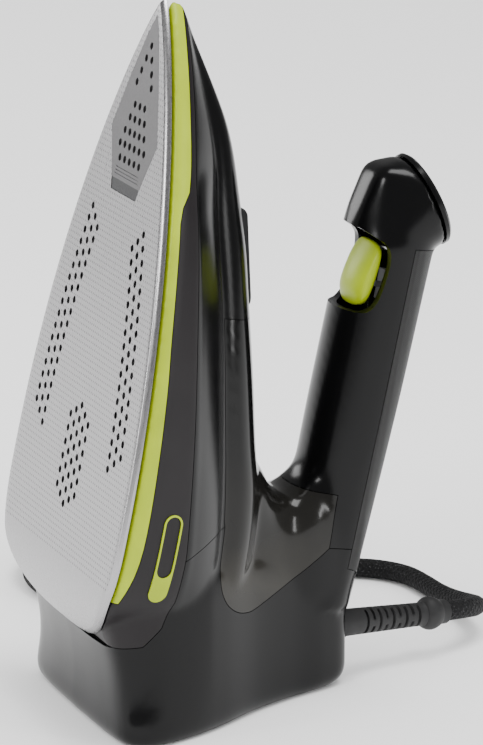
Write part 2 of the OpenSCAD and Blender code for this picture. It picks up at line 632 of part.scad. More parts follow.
// head and end cap: the cap's face looks away from the soleplate and towards the nose
cap_d = handle_w + 2;
cap_t = 2.6;
cap_lean = 55;
module cap_place() {
    translate([0, handle_n + 11.2, handle_top + 17.1]) rotate([-cap_lean, 0, 0]) children();
}
module head_form(t) hull() {
    translate([0, handle_n, handle_top - (t > 0 ? 1 : 0)])
        cylinder(d = (handle_w + handle_t) / 2 - 2*t, h = 0.2, $fn = 32);
    cap_place() translate([0, 0, t > 0 ? 0.8 : -0.2]) cylinder(d = cap_d - 2*t, h = 0.2, $fn = 40);
    for (x = [-5 + t/2, 5 - t/2]) {
        translate([x, handle_n - 10, handle_top + 10.2]) sphere(r = 6.2 - t, $fn = 24);
        translate([x, handle_n - 6.4, handle_top + 23]) sphere(r = 7 - t, $fn = 24);
    }
}
module handle_head() color(black) iron() moulding() difference() {
    head_form(0);
    head_form(wall);
    side_cut([[60, handle_top - 30], [handle_n - 8, handle_top - 30], [handle_n - 8, handle_top + 1],
              [handle_n - 14.5, handle_top + 4], [60, handle_top + 6]]);
}
spray_v = -8.2;
mode_v = 5.2;
lens_v = 14;
module end_cap() color(black) iron() cap_place() difference() {
    union() {
        rotate_extrude() polygon([[0, 0], [cap_d/2, 0], [cap_d/2, cap_t - 1], [cap_d/2 - 1, cap_t], [0, cap_t]]);
        for (x = [-13.4, 13.4]) translate([x, 0, -4]) cylinder(d = 4, h = 4.1);
    }
    for (v = [spray_v, mode_v]) translate([0, v, -1]) cylinder(d = button_d + 2*gap, h = cap_t + 2);
    translate([0, lens_v, -1]) cylinder(d = 3.04, h = cap_t + 2);
    for (x = [-13.4, 13.4]) translate([x, 0, -5]) cylinder(d = 1.8, h = 4);
}
module push_button(v) translate([0, v, 0]) {
    translate([0, 0, -1]) cylinder(d = button_d, h = cap_t + 2.4);
    translate([0, 0, -1.7]) cylinder(d = button_d + 2.2, h = 1.4);
}
module spray_button() color(dark_grey) iron() cap_place() push_button(spray_v);
module mode_button() color(lime) iron() cap_place() push_button(mode_v);
module button_pad() color("gray") iron() cap_place() {
    translate([0, 0, -5.2]) cylinder(d = 29, h = 1.2);
    for (v = [spray_v, mode_v]) translate([0, v, -4.1]) cylinder(d1 = 8, d2 = 5, h = 4.1 - 1.7 - button_travel - 0.3);
}
module cap_board() color("darkgreen") iron() cap_place() translate([0, 0, -6.8]) cylinder(d = 29, h = 1.6);
module status_lens() color("white") iron() cap_place() translate([0, lens_v, -4])
    cylinder(d = 3, h = cap_t + 4.1);

// ---------------------------------------------------------------- heel

cord_z = 22;
rear_y = foot_len / 2;
bush_d = guard_d + 1.8;
exit_yaw = 13;
exit_droop = 5;
// where the cord leaves the heel, turned sideways and a little down
module exit_place() { translate([0, rear_y, cord_z]) rotate([0, 0, exit_yaw]) rotate([-90 - exit_droop, 0, 0]) children(); }
pad_d = 12;
plate_t = 2.2;
boss_spots = [[0.4 * foot_w, -0.34 * foot_len], [0.105 * foot_w, 0.16 * foot_len]];
pad_spots = [[-30, -38], [30, -38], [0, 36]];
module heel_shell() color(black) difference() {
    moulding() union() {
        iron() intersection() {
            difference() {
                outer_form(0);
                outer_form(wall);
            }
            side_cut(heel_line);
        }
        intersection() {
            iron() heel_form(1);
            for (p = boss_spots) for (m = [0, 1]) mirror([m, 0, 0]) translate([p[0], p[1], plate_t]) {
                cylinder(d = 8, h = 16, $fn = 24);
                translate([0, -1, 0]) cube([40, 2, 16]);
            }
        }
    }
    exit_place() translate([0, 0, -20]) cylinder(d = bush_d, h = 40);
    for (p = boss_spots) for (m = [-1, 1]) translate([m * p[0], p[1], plate_t - 1]) cylinder(d = 2.6, h = 13);
}
plate_ring = [for (p = heel_ring(0, wall + 0.3, edge_tuck)) [p[0], p[1]]];
module base_plate() color(rubber) difference() {
    linear_extrude(plate_t) polygon(plate_ring);
    for (p = pad_spots) translate([p[0], p[1], -1]) cylinder(d = pad_d + 0.2, h = 2.2);
    for (p = boss_spots) for (m = [-1, 1]) translate([m * p[0], p[1], -1]) {
        cylinder(d = 2.9, h = 5);
        cylinder(d = 5.4, h = 2.2);
    }
}
module rubber_feet() color([0.25, 0.25, 0.25]) for (p = pad_spots) translate([p[0], p[1], 0]) cylinder(d = pad_d, h = 1.2);
module base_screws() color(steel) for (p = boss_spots) for (m = [-1, 1]) translate([m * p[0], p[1], 0.3]) {
    cylinder(d = 5, h = 0.9);
    cylinder(d = 2.6, h = 11);
}
module cord_bushing() color(rubber) exit_place() difference() {
    union() {
        translate([0, 0, -10]) cylinder(d = bush_d, h = 8.4);
        translate([0, 0, -12]) cylinder(d = bush_d + 1.6, h = 2);
    }
    translate([0, 0, -13]) cylinder(d = guard_d, h = 20);
}
module cord_clamp() color("dimgray") difference() {
    intersection() {
        exit_place() translate([-8, -8, -25]) cube([16, 40, 8]);
        translate([-40, 0, plate_t]) cube([80, rear_y, 60]);
    }
    exit_place() translate([0, 0, -30]) cylinder(d = cord_d, h = 16);
}
module terminal_block() color("gainsboro") {
    translate([-12, -6, plate_t]) cube([24, 12, 10]);
    for (x = [-7, 0, 7]) translate([x, 0, plate_t + 10]) cylinder(d = 4.4, h = 2);
}

// ---------------------------------------------------------------- cord

groove_at = [for (k = [0:4]) 10.4 + k * 6.55];
function guard_r(z) = guard_d/2 - 0.8 * z / guard_len;
module cord_guard() color(rubber) exit_place() {
    rotate_extrude() polygon(concat([[0, -12], [guard_d/2, -12], [guard_d/2, 0]],
        [for (g = groove_at) each [[guard_r(g), g], [guard_r(g) - 1, g + 0.2], [guard_r(g) - 1, g + 1.2],
                                    [guard_r(g), g + 1.4]]],
        [[guard_r(guard_len), guard_len], [0, guard_len]]));
    translate([0, 0, -26]) cylinder(d = cord_d, h = 14);
}
collar_len = 12;
module guard_collar() color(rubber) exit_place() rotate_extrude()
    polygon(concat([[0, guard_len], [5.1, guard_len]],
        [for (a = [0:15:180]) [5.3 + 1.5 * sin(a) , guard_len + 4.3 - 3.6 * cos(a)]],
        [[4.6, guard_len + collar_len], [0, guard_len + collar_len]]));

reach = guard_len + collar_len;         // from the heel to the end of the collar
exit_way = [-sin(exit_yaw) * cos(exit_droop), cos(exit_yaw) * cos(exit_droop), -sin(exit_droop)];
exit_end = [0, rear_y, cord_z] + reach * exit_way;
lead_route = [exit_end, exit_end + 10 * exit_way, [-23, 126, 14.4], [-36, 134.5, 10.8], [-51, 141.5, 7.2],
    [-67, 147, 4.6], [-83, 149.5, 4], [-99, 147.5, 4], [-112.5, 140, 4], [-122, 128.5, 4], [-127, 115, 4],
    [-126.5, 101.5, 4], [-121, 89.5, 4], [-112.5, 78.5, 4]];
coil_at = [-150, 34, 0];
coil_mid = 45;
coil_h = 15;
tail_route = [[-194.5, -2, 11.3], [-204, 2, 12.5], [-213.5, 9, 14.5], [-220.5, 18, 17], [-225, 28, 18.7], [-226, 36, 19]];
module cord_lead() color(rubber) tube(lead_route, cord_d, 26);
module cord_tail() color(rubber) tube(tail_route, cord_d, 8);
module cord_coil() color(rubber) translate(coil_at) rotate_extrude()
    translate([coil_mid - 1.5 * cord_d, 0]) square([3 * cord_d, coil_h]);
module cord_tie() color(dark_grey) translate(coil_at) rotate([0, 0, 100]) difference() {
    translate([coil_mid - 1.5 * cord_d - 1.9, -4, 0]) cube([3 * cord_d + 3.8, 8, coil_h + 1.2]);
    translate([coil_mid - 1.5 * cord_d - 0.6, -5, -1]) cube([3 * cord_d + 1.2, 10, coil_h + 1.1]);
}
plug_at = [-226, 36, 19];
module plug_body() color(rubber) translate(plug_at) rotate([-90, 0, 0]) difference() {
    rotate_extrude() polygon([[0, 0], [5.2, 0], [6.2, 12], [11, 17], [15, 22], [17.5, 30], [18.5, 34], [18.5, 44], [0, 44]]);
    for (x = [-9.5, 9.5]) translate([x, 0, 38]) cylinder(d = 4.8, h = 10);
}
module plug_pins() color("silver") translate(plug_at) rotate([-90, 0, 0]) for (x = [-9.5, 9.5]) translate([x, 0, 38]) {
    cylinder(d = 4.8, h = 23);
    translate([0, 0, 23]) cylinder(d1 = 4.8, d2 = 2.8, h = 2);
}

soleplate();
tip_insert();
steam_chamber();
chamber_cover();
heating_element();
thermostat();
thermal_fuse();
heat_shield();
skirt();
lower_housing();
side_badges();
upper_body();
water_tank();
filler_door();
filler_pin();
filler_neck();
spray_nozzle();
spray_hose();
dosing_hose();
water_pump();
dosing_valve();
control_board();
handle_inner();
handle_grip();
handle_head();
end_cap();
trigger();
trigger_pin();
trigger_spring();
trigger_switch();
spray_button();
mode_button();
button_pad();
cap_board();
status_lens();
heel_shell();
base_plate();
rubber_feet();
base_screws();
board_screws();
cord_bushing();
cord_clamp();
terminal_block();
cord_guard();
guard_collar();
cord_lead();
cord_coil();
cord_tail();
cord_tie();
plug_body();
plug_pins();
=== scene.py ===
import json
from math import atan2, cos, pi, radians, sin

import bmesh
import bpy
import numpy as np
from bpy.props import FloatProperty, FloatVectorProperty, IntProperty, PointerProperty
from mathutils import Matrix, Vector

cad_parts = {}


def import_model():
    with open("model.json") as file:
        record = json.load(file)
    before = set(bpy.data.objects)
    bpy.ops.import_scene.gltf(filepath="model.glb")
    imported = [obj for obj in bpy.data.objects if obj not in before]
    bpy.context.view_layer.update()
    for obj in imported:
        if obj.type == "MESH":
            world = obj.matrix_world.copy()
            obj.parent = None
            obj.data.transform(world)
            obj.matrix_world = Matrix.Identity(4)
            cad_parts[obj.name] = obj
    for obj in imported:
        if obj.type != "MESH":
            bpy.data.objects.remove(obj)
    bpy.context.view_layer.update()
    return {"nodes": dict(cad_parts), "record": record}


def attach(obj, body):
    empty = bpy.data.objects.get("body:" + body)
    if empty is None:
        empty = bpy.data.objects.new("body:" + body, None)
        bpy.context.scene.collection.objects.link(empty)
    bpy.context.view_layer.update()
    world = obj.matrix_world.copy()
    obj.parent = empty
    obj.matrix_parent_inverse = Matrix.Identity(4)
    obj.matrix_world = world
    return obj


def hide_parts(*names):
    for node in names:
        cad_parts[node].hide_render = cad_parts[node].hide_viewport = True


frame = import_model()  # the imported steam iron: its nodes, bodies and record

bl_info = {
    "name": "Steam Iron",
    "version": (1, 0, 0),
    "blender": (4, 5, 0),
    "location": "3D View > Sidebar > Steam Iron",
    "description": "Builds the skins, soleplate, trigger, cord and studio of an upright steam iron",
    "category": "Add Mesh",
}

# ------------------------------------------------------------------ settings


class IronSizes(bpy.types.PropertyGroup):
    """Sizes of the iron. All but the skin's wall and grid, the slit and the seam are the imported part's."""

    tilt: FloatProperty(name="Tilt", description="Lean of the soleplate from upright",
                        default=radians(12), subtype="ANGLE")
    heel_lift: FloatProperty(name="Heel lift", description="Height of the soleplate's heel edge",
                             default=0.0414, unit="LENGTH")
    heel_reach: FloatProperty(name="Heel reach", description="How far the heel edge stands in front of the foot",
                              default=0.0142, unit="LENGTH")
    sole_len: FloatProperty(name="Sole length", description="Length of the soleplate", default=0.24, unit="LENGTH")
    sole_w: FloatProperty(name="Sole width", description="Width of the soleplate", default=0.1214, unit="LENGTH")
    sole_t: FloatProperty(name="Sole thickness", description="Thickness of the soleplate",
                          default=0.0026, unit="LENGTH")
    curl: FloatProperty(name="Curl", description="How far the heel end is rolled back", default=0.008, unit="LENGTH")
    wall: FloatProperty(name="Wall", description="Wall of the visible housings, thicker than the packed part's",
                        default=0.0034, unit="LENGTH")
    slit: FloatProperty(name="Slit", description="Slit between soleplate and skirt", default=0.0012, unit="LENGTH")
    seam: FloatProperty(name="Seam", description="Open joint between two housings", default=0.0003, unit="LENGTH")
    handle_n: FloatProperty(name="Handle distance", description="Handle's middle from the soleplate",
                            default=0.112, unit="LENGTH")
    handle_w: FloatProperty(name="Handle width", description="Width of the handle", default=0.037, unit="LENGTH")
    handle_t: FloatProperty(name="Handle thickness", description="Thickness of the handle",
                            default=0.035, unit="LENGTH")
    handle_top: FloatProperty(name="Handle top", description="Height of the bar's free end",
                              default=0.162, unit="LENGTH")
    trigger_len: FloatProperty(name="Trigger length", description="Length of the trigger", default=0.027, unit="LENGTH")
    foot_len: FloatProperty(name="Foot length", description="Length of the foot", default=0.112, unit="LENGTH")
    foot_w: FloatProperty(name="Foot width", description="Width of the foot", default=0.109, unit="LENGTH")
    foot_h: FloatProperty(name="Foot height", description="Height of the foot's block", default=0.056, unit="LENGTH")
    voxel: FloatProperty(name="Skin grid", description="Grid of the blended skin", default=0.0011, unit="LENGTH")
    cord_d: FloatProperty(name="Cord diameter", description="Diameter of the braided cord",
                          default=0.008, unit="LENGTH")
    guard_len: FloatProperty(name="Guard length", description="Length of the cord guard", default=0.039, unit="LENGTH")


class IronColours(bpy.types.PropertyGroup):
    """Colours of the finishes."""

    lime: FloatVectorProperty(name="Lime", description="Lime plastic",
                              default=(0.31, 0.40, 0.001), subtype="COLOR", min=0, max=1)
    black: FloatVectorProperty(name="Black", description="Gloss black plastic",
                               default=(0.0022, 0.0022, 0.0024), subtype="COLOR", min=0, max=1)
    housing: FloatVectorProperty(name="Housing", description="Dark grey plastic",
                                 default=(0.0095, 0.0080, 0.0088), subtype="COLOR", min=0, max=1)
    silver: FloatVectorProperty(name="Silver", description="Soleplate metal",
                                default=(0.40, 0.393, 0.40), subtype="COLOR", min=0, max=1)
    insert: FloatVectorProperty(name="Insert", description="Tip plate metal",
                                default=(0.135, 0.132, 0.135), subtype="COLOR", min=0, max=1)
    band: FloatVectorProperty(name="Band", description="Dark band of the tip plate",
                              default=(0.035, 0.035, 0.037), subtype="COLOR", min=0, max=1)
    rubber: FloatVectorProperty(name="Rubber", description="Soft rubber",
                                default=(0.007, 0.007, 0.0075), subtype="COLOR", min=0, max=1)
    floor: FloatVectorProperty(name="Floor", description="Studio floor",
                               default=(0.90, 0.90, 0.90), subtype="COLOR", min=0, max=1)


def size(name):
    """A size in millimetres, from the settings."""
    return getattr(bpy.context.scene.iron_sizes, name) * 1000


def colour(name):
    return tuple(getattr(bpy.context.scene.iron_colours, name)) + (1.0,)


# ------------------------------------------------------------------ places and curves


def world(x, n, s):
    """Points x across, n behind the soleplate and s above its heel edge, turned by the tilt, in metres."""
    t = bpy.context.scene.iron_sizes.tilt
    y0 = -size("foot_len") / 2 - size("heel_reach")
    x, n, s = np.broadcast_arrays(x, n, s)
    return np.stack([x, y0 + n * cos(t) + s * sin(t), size("heel_lift") - n * sin(t) + s * cos(t)], -1) / 1000


def curve(t, table):
    """Cubic through rows of station and value, whose slope at a row is that of the chord between its neighbours."""
    x, v = np.array(table, float).T
    slope = np.concatenate([[(v[1] - v[0]) / (x[1] - x[0])], (v[2:] - v[:-2]) / (x[2:] - x[:-2]),
                            [(v[-1] - v[-2]) / (x[-1] - x[-2])]])
    t = np.asarray(t, float)
    i = np.clip(np.searchsorted(x, t, side="right") - 1, 0, len(x) - 2)
    h = x[i + 1] - x[i]
    u = np.clip((t - x[i]) / h, 0, 1)
    return ((2*u**3 - 3*u**2 + 1) * v[i] + (u**3 - 2*u**2 + u) * slope[i] * h
            + (3*u**2 - 2*u**3) * v[i + 1] + (u**3 - u**2) * slope[i + 1] * h)


def through(p, n):
    """n points on each stretch of the cubic through the points p. Its slope at a point is half its neighbours' span."""
    p = np.asarray(p, float)
    q = np.concatenate([2*p[..., :1, :] - p[..., 1:2, :], p, 2*p[..., -1:, :] - p[..., -2:-1, :]], -2)
    k = np.arange(p.shape[-2] - 1)
    a, b, c, d = (q[..., k + j, :][..., :, None, :] for j in range(4))
    u = (np.arange(n) / n)[:, None]
    out = b + u * ((c - a) / 2 + u * (a - 2.5*b + 2*c - d/2 + u * (1.5 * (b - c) + (d - a) / 2)))
    out = out.reshape(p.shape[:-2] + (-1, p.shape[-1]))
    return np.concatenate([out, p[..., -1:, :]], -2)


# ------------------------------------------------------------------ meshes


def new_piece(name, mesh):
    piece = bpy.data.objects.new(name, mesh)
    bpy.context.scene.collection.objects.link(piece)
    return piece


def outward(mesh, weld=1e-6):
    """Merges doubled points and turns the faces outwards."""
    bm = bmesh.new()
    bm.from_mesh(mesh)
    bmesh.ops.remove_doubles(bm, verts=bm.verts, dist=weld)
    bmesh.ops.dissolve_degenerate(bm, edges=bm.edges, dist=weld / 2)
    bmesh.ops.recalc_face_normals(bm, faces=bm.faces)
    bm.to_mesh(mesh)
    bm.free()
    return mesh


def lofted(name, rings):
    """Skin over closed rings of points (ring, point, xyz), with its ends capped."""
    count, per = rings.shape[:2]
    i, j = np.meshgrid(np.arange(count - 1), np.arange(per), indexing="ij")
    a, b = i * per + j, i * per + (j + 1) % per
    faces = np.stack([a, b, b + per, a + per], -1).reshape(-1, 4).tolist()
    faces += [list(range(per))[::-1], list(range((count - 1) * per, count * per))]
    mesh = bpy.data.meshes.new(name)
    mesh.from_pydata(rings.reshape(-1, 3).tolist(), [], faces)
    return outward(mesh)


def grid_faces(rows, columns):
    """Four-sided faces of a grid of points."""
    i, j = np.meshgrid(np.arange(rows - 1), np.arange(columns - 1), indexing="ij")
    a = i * columns + j
    return np.stack([a, a + 1, a + columns + 1, a + columns], -1).reshape(-1, 4).tolist()


def prism(name, low, high):
    """Straight solid between two outlines of the same points (point, xyz)."""
    return lofted(name, np.stack([low, high]))


def baked(piece, name=None):
    """The piece with its modifiers applied."""
    bpy.context.view_layer.update()
    mesh = bpy.data.meshes.new_from_object(piece.evaluated_get(bpy.context.evaluated_depsgraph_get()))
    piece.modifiers.clear()
    piece.data = mesh
    if name:
        piece.name = name
    return piece


def carve(piece, other, operation="DIFFERENCE", keep=False):
    """Cuts the piece with the other solid, and removes the other unless it is kept."""
    cut = piece.modifiers.new("carve", "BOOLEAN")
    cut.operation, cut.solver, cut.object = operation, "MANIFOLD", other
    baked(piece)
    if not len(piece.data.polygons):
        raise RuntimeError(f"{piece.name}: nothing is left of it after the cut")
    if not keep:
        bpy.data.objects.remove(other)
    return piece


def copied(piece, name):
    return new_piece(name, piece.data.copy())


def shade(piece, degrees=35):
    """Smooth faces with edges sharper than the angle kept crisp."""
    piece.data.polygons.foreach_set("use_smooth", np.ones(len(piece.data.polygons), bool))
    piece.data.set_sharp_from_angle(angle=radians(degrees))
    return piece


def finished(piece, body, node, material, degrees=35):
    """Shades the piece, gives it its finish, and lets it stand for its CAD node on its body."""
    shade(piece, degrees)
    piece.data.materials.clear()
    piece.data.materials.append(material)
    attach(piece, body)
    if node:
        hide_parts(*([node] if isinstance(node, str) else node))
    return piece


# ------------------------------------------------------------------ outer forms

HEEL_Q = 0.68   # squareness of the sole's heel end
CURL_S = 22.0   # height below which the sole's heel end rolls back
WIDE_AT = 50.0  # where the sole is widest
BACK = [[0, 71], [30, 74], [61, 72.5], [80, 67.5], [104, 62], [135, 54.5], [155, 50], [177, 43], [190, 38.5],
        [200, 34], [210, 28], [220, 21.5], [230, 15], [240, 9.6]]
LIME = [[20, 6.6], [33, 9.5], [47, 10.6], [75, 10.2], [105, 9.3], [121, 8.5], [157, 8.1], [168, 8.3], [176, 11.4],
        [205, 10.6], [226, 9.6], [244, 9]]
SPLIT = [[0, 30.5], [39, 30], [51, 28.7], [85, 24.7], [122, 20.4], [158, 17], [180, 14.5], [205, 13], [226, 11.4],
         [240, 9.8]]
CREASE = [[0, 54], [50, 50.5], [104, 42], [135, 37], [165, 31.5], [190, 27.5], [214, 19.5], [230, 13], [240, 9.4]]
CREST = [[0, 40], [50, 39.5], [104, 33.5], [135, 28], [165, 20.5], [190, 15], [214, 8.5], [230, 4], [240, 1]]
PLAN = [[0, 0], [0.28, 0.004], [0.44, 0.02], [0.495, 0.07], [0.5, 0.15], [0.455, 0.277], [0.38, 0.41],
        [0.275, 0.57], [0.19, 0.74], [0.138, 0.88], [0.088, 0.968], [0, 1]]
WAIST = [[0, 0.012], [8, 0.004], [16, -0.035], [26, -0.07], [36, -0.085], [48, -0.09], [70, -0.09]]
SADDLE_TOP = [[50, 40], [58, 62], [66, 72], [72, 72], [78, 64], [86, 58.5], [91, 61.5], [96, 68], [104, 66],
              [112, 60], [120, 50]]
SADDLE_W = [[50, 38], [66, 29.5], [78, 25], [90, 21.5], [104, 19.3], [120, 15]]
BAR_SLIM = [[0, 0.9], [30, 0.92], [99, 0.98], [150, 1], [175, 1.02]]
BAR_MID = [[0, -3], [30, -1.8], [99, 0], [150, 0.8], [175, 1]]


def half_w(s):
    """Half width of the sole at height s: a round nose above the widest place, a squared round heel below."""
    nose = 1 - ((s - WIDE_AT) / (size("sole_len") - WIDE_AT)) ** 2
    heel = 1 - np.clip((WIDE_AT - s) / WIDE_AT, 0, 1) ** (2 / HEEL_Q)
    return size("sole_w") / 2 * np.where(s >= WIDE_AT, np.clip(nose, 0, 1) ** 0.88, np.clip(heel, 0, 1) ** (HEEL_Q / 2))


def rolled(s):
    """How far back the sole's heel end is at height s: a parabola below the curl's start."""
    return np.where(s < CURL_S, size("curl") * (1 - s / CURL_S) ** 2, 0)


def sole_outline(grow, steps=72):
    """Outline of the sole grown by an amount: squared sine curves at the heel, flattened ones at the nose."""
    w, length = size("sole_w") / 2 + grow, size("sole_len")
    a, b = np.linspace(pi / 2, 0, steps // 2, endpoint=False), np.linspace(0, pi / 2, steps)
    heel = np.stack([w * np.cos(a) ** HEEL_Q, WIDE_AT - (WIDE_AT + grow) * np.sin(a) ** HEEL_Q], -1)
    nose = np.stack([w * np.cos(b) ** 1.76, WIDE_AT + (length - WIDE_AT + 1.3 * grow) * np.sin(b)], -1)
    half = np.concatenate([heel, nose])
    half[0, 0] = half[-1, 0] = 0
    return np.concatenate([half, (half * [-1, 1])[-2:0:-1]])


def body_form(t=0.0):
    """Body: rings up the sole, each a smooth curve from the skirt's edge over the flank and the crest to the back."""
    low, high = 2 + 2*t, size("sole_len") + 1.2 - 2.2*t
    s = low + (high - low) * np.sin(np.linspace(0, pi / 2, 90))
    edge = size("sole_t") + size("slit")
    w, top = np.maximum(half_w(s) + 0.6 - t, 0.4), curve(s, BACK) - t
    n2 = np.minimum(curve(s, SPLIT), top - 0.6)
    n1 = np.minimum(9, n2 - 0.3)
    w2 = np.maximum(np.minimum(0.945 * half_w(s) - t, w), 0.35)
    n3 = np.minimum(curve(s, CREASE) - 0.6*t, top - 0.3)
    w3 = np.maximum(np.minimum(curve(s, CREST) - 0.8*t, w2), 0.3)
    first = edge - (2 if t else 0)
    points = [(w, first + 0*s), (w, n1), ((w + w2)/2 + 0.3, (n1 + n2)/2), (w2, n2)]
    points += [(w2 + (w3 - w2)*u + 5*u*(1 - u)*w2/58, n2 + (n3 - n2)*u) for u in (0.2, 0.4, 0.6, 0.8, 1)]
    points += [(w3*(1 - u*u), n3 + (top - n3)*(1 - (1 - u)**2)) for u in (0.2, 0.4, 0.6, 0.8, 1)]
    half = through(np.stack([np.stack(p, -1) for p in points], 1), 6)
    ring = np.concatenate([half, (half * [-1, 1])[:, -2::-1]], 1)
    return lofted("body_form", world(ring[..., 0], ring[..., 1], s[:, None]))


def heel_form(t=0.0):
    """Foot: level rings, each the plan's smooth curve, flared and leaned in front by height, its edges tucked in."""
    length, wide, high = size("foot_len"), size("foot_w"), size("foot_h")
    levels = np.array([[-1 if t else 0, 3.2], [0.8, 1.9], [2.2, 0.9], [4.4, 0.25], [8, 0], [14, 0], [24, 0], [34, 0],
                       [44, 0], [high - 2, 0.2], [high + 6 - t, 2.5], [high + 12 - t, 7]])
    levels = through(levels, 4)
    z, tuck = levels[:, 0, None], np.maximum(levels[:, 1, None], 0)
    half = through(np.array(PLAN), 8)
    y = half[:, 1] * length
    forward = np.clip(1 - y / 38, 0, None)
    lean = -0.0036 * z * z + 0.03 * z - 2.4 * np.exp(-(z / 16) ** 2)
    x = half[:, 0] * wide * (1 + curve(z, WAIST) * forward) * (wide/2 - t - tuck) / (wide/2)
    middle = 0.42 * length
    y = y + lean * forward
    shrink = 1 - (t + np.where(y > middle, 2.4, 1) * tuck) / (length / 2)
    y = -length/2 + middle + (y - middle) * shrink
    ring = np.stack([x, y, np.broadcast_to(z, x.shape)], -1)
    mirrored = (ring * [-1, 1, 1])[:, -2:0:-1]
    return lofted("heel_form", np.concatenate([ring, mirrored], 1) / 1000)


def saddle_form(t=0.0):
    """Saddle: squared ovals from the body to the handle."""
    n = np.linspace(54 + t, size("handle_n") + 6 - t, 60)
    top, w, low = curve(n, SADDLE_TOP) - t, curve(n, SADDLE_W) - t, 6 + t
    a = np.linspace(0, 2*pi, 96, endpoint=False)
    c, h = ((top + low) / 2)[:, None], ((top - low) / 2)[:, None]
    x = w[:, None] * np.sign(np.sin(a)) * np.abs(np.sin(a)) ** 0.7
    s = c + h * np.sign(np.cos(a)) * np.abs(np.cos(a)) ** 0.7
    return lofted("saddle_form", world(x, n[:, None], s))


def bar_ring(s, a, t=0.0):
    """Point of the handle's bar at height s and angle a: a slightly squared oval round the bar's middle."""
    slim, mid = curve(s, BAR_SLIM), curve(s, BAR_MID)
    x = (size("handle_w")/2 * slim - t) * np.sign(np.cos(a)) * np.abs(np.cos(a)) ** 0.9
    n = size("handle_n") + mid + (size("handle_t")/2 * slim - t) * np.sign(np.sin(a)) * np.abs(np.sin(a)) ** 0.9
    return x, n


def bar_form(t=0.0):
    s = np.linspace(16 + t, size("handle_top") + 2, 90)[:, None]
    x, n = bar_ring(s, np.linspace(0, 2*pi, 96, endpoint=False), t)
    return lofted("bar_form", world(x, n, s))


CAP_LEAN = radians(55)     # lean of the end cap's face
CAP_N, CAP_S = 11.2, 17.1  # end cap's middle, behind and above the bar's free end


def cap_point(x, v, z):
    """Point of the end cap's own axes: x across, v up its face, z out of it, in the iron's axes."""
    n = size("handle_n") + CAP_N + v * cos(CAP_LEAN) + z * sin(CAP_LEAN)
    s = size("handle_top") + CAP_S - v * sin(CAP_LEAN) + z * cos(CAP_LEAN)
    return x, n, s


def head_form(t=0.0):
    """Head: the hull of the bar's end, the cap's disc and four balls at its front and top edges."""
    a = np.linspace(0, 2*pi, 96, endpoint=False)
    r, top = (size("handle_w") + size("handle_t")) / 4 - t, size("handle_top")
    points = [world(r * np.cos(a), size("handle_n") + r * np.sin(a), top - (1 if t else 0))]
    rc = (size("handle_w") + 2) / 2 - t
    for z in (-0.2, 0.0) if not t else (0.8, 1.0):
        points.append(world(*cap_point(rc * np.cos(a), rc * np.sin(a), z)))
    lat, lon = np.meshgrid(np.linspace(-pi/2, pi/2, 13), np.linspace(0, 2*pi, 24, endpoint=False))
    ball = np.stack([np.cos(lat) * np.cos(lon), np.cos(lat) * np.sin(lon), np.sin(lat)], -1).reshape(-1, 3)
    for x in (-5 + t/2, 5 - t/2):
        for n, s, radius in ((-10, 10.2, 6.2), (-6.4, 23, 7)):
            b = ball * (radius - t)
            points.append(world(x + b[:, 0], size("handle_n") + n + b[:, 1], top + s + b[:, 2]))
    mesh = bpy.data.meshes.new("head_form")
    bm = bmesh.new()
    for p in np.concatenate(points).tolist():
        bm.verts.new(p)
    hull = bmesh.ops.convex_hull(bm, input=bm.verts)
    bmesh.ops.delete(bm, geom=list(set(hull["geom_interior"] + hull["geom_unused"])), context="VERTS")
    bm.to_mesh(mesh)
    bm.free()
    return outward(mesh)


def relaxed(piece, rounds, weight=None):
    """Moves each point towards the mean of its neighbours, round after round, by half the distance times its weight."""
    mesh = piece.data
    count = len(mesh.vertices)
    place, ends = np.empty(count * 3), np.empty(len(mesh.edges) * 2, int)
    mesh.vertices.foreach_get("co", place)
    mesh.edges.foreach_get("vertices", ends)
    place = place.reshape(-1, 3)
    near, far = np.concatenate([ends[::2], ends[1::2]]), np.concatenate([ends[1::2], ends[::2]])
    share = 0.5 / np.maximum(np.bincount(near, minlength=count), 1)
    if weight is not None:
        share = share * weight(place)
    for _ in range(rounds):
        pull = np.stack([np.bincount(near, (place[far, k] - place[near, k]), count) for k in range(3)], -1)
        place = place + share[:, None] * pull
    mesh.vertices.foreach_set("co", place.ravel())
    mesh.update()
    return piece


def crotch(place):
    """1 where the handle, the saddle and the body meet, falling off to 0 as a bell curve, and a third on the head."""
    middle = world(0.0, 84.0, 60.0)
    spread = np.linalg.norm((place - middle) / [0.030, 0.019, 0.024], axis=1)
    head = world(0.0, size("handle_n"), size("handle_top") + 14.0)
    near_head = np.linalg.norm((place - head) / 0.024, axis=1)
    return np.clip(np.exp(-spread ** 2) * 1.5, 0, 1) + np.clip(0.2 - 0.17 * near_head ** 4, 0, 0.1)


def blended(name, forms, voxel, rounds):
    """One closed skin over the forms: their union on a fine grid, with the creases between them smoothed out."""
    bm = bmesh.new()
    for mesh in forms:
        bm.from_mesh(mesh)
    mesh = bpy.data.meshes.new(name)
    bm.to_mesh(mesh)
    bm.free()
    piece = new_piece(name, mesh)
    grid = piece.modifiers.new("grid", "REMESH")
    grid.mode, grid.voxel_size = "VOXEL", voxel
    baked(piece)
    if rounds:
        relaxed(piece, rounds)
        relaxed(piece, 9 * rounds, crotch)
    return piece


# ------------------------------------------------------------------ parting lines


def line_up(table, s0, s1, k=40, move=0.0):
    """Points of a parting line from height s0 to s1."""
    s = np.linspace(s0, s1, k)
    return np.stack([curve(s, table) + move, s], -1)


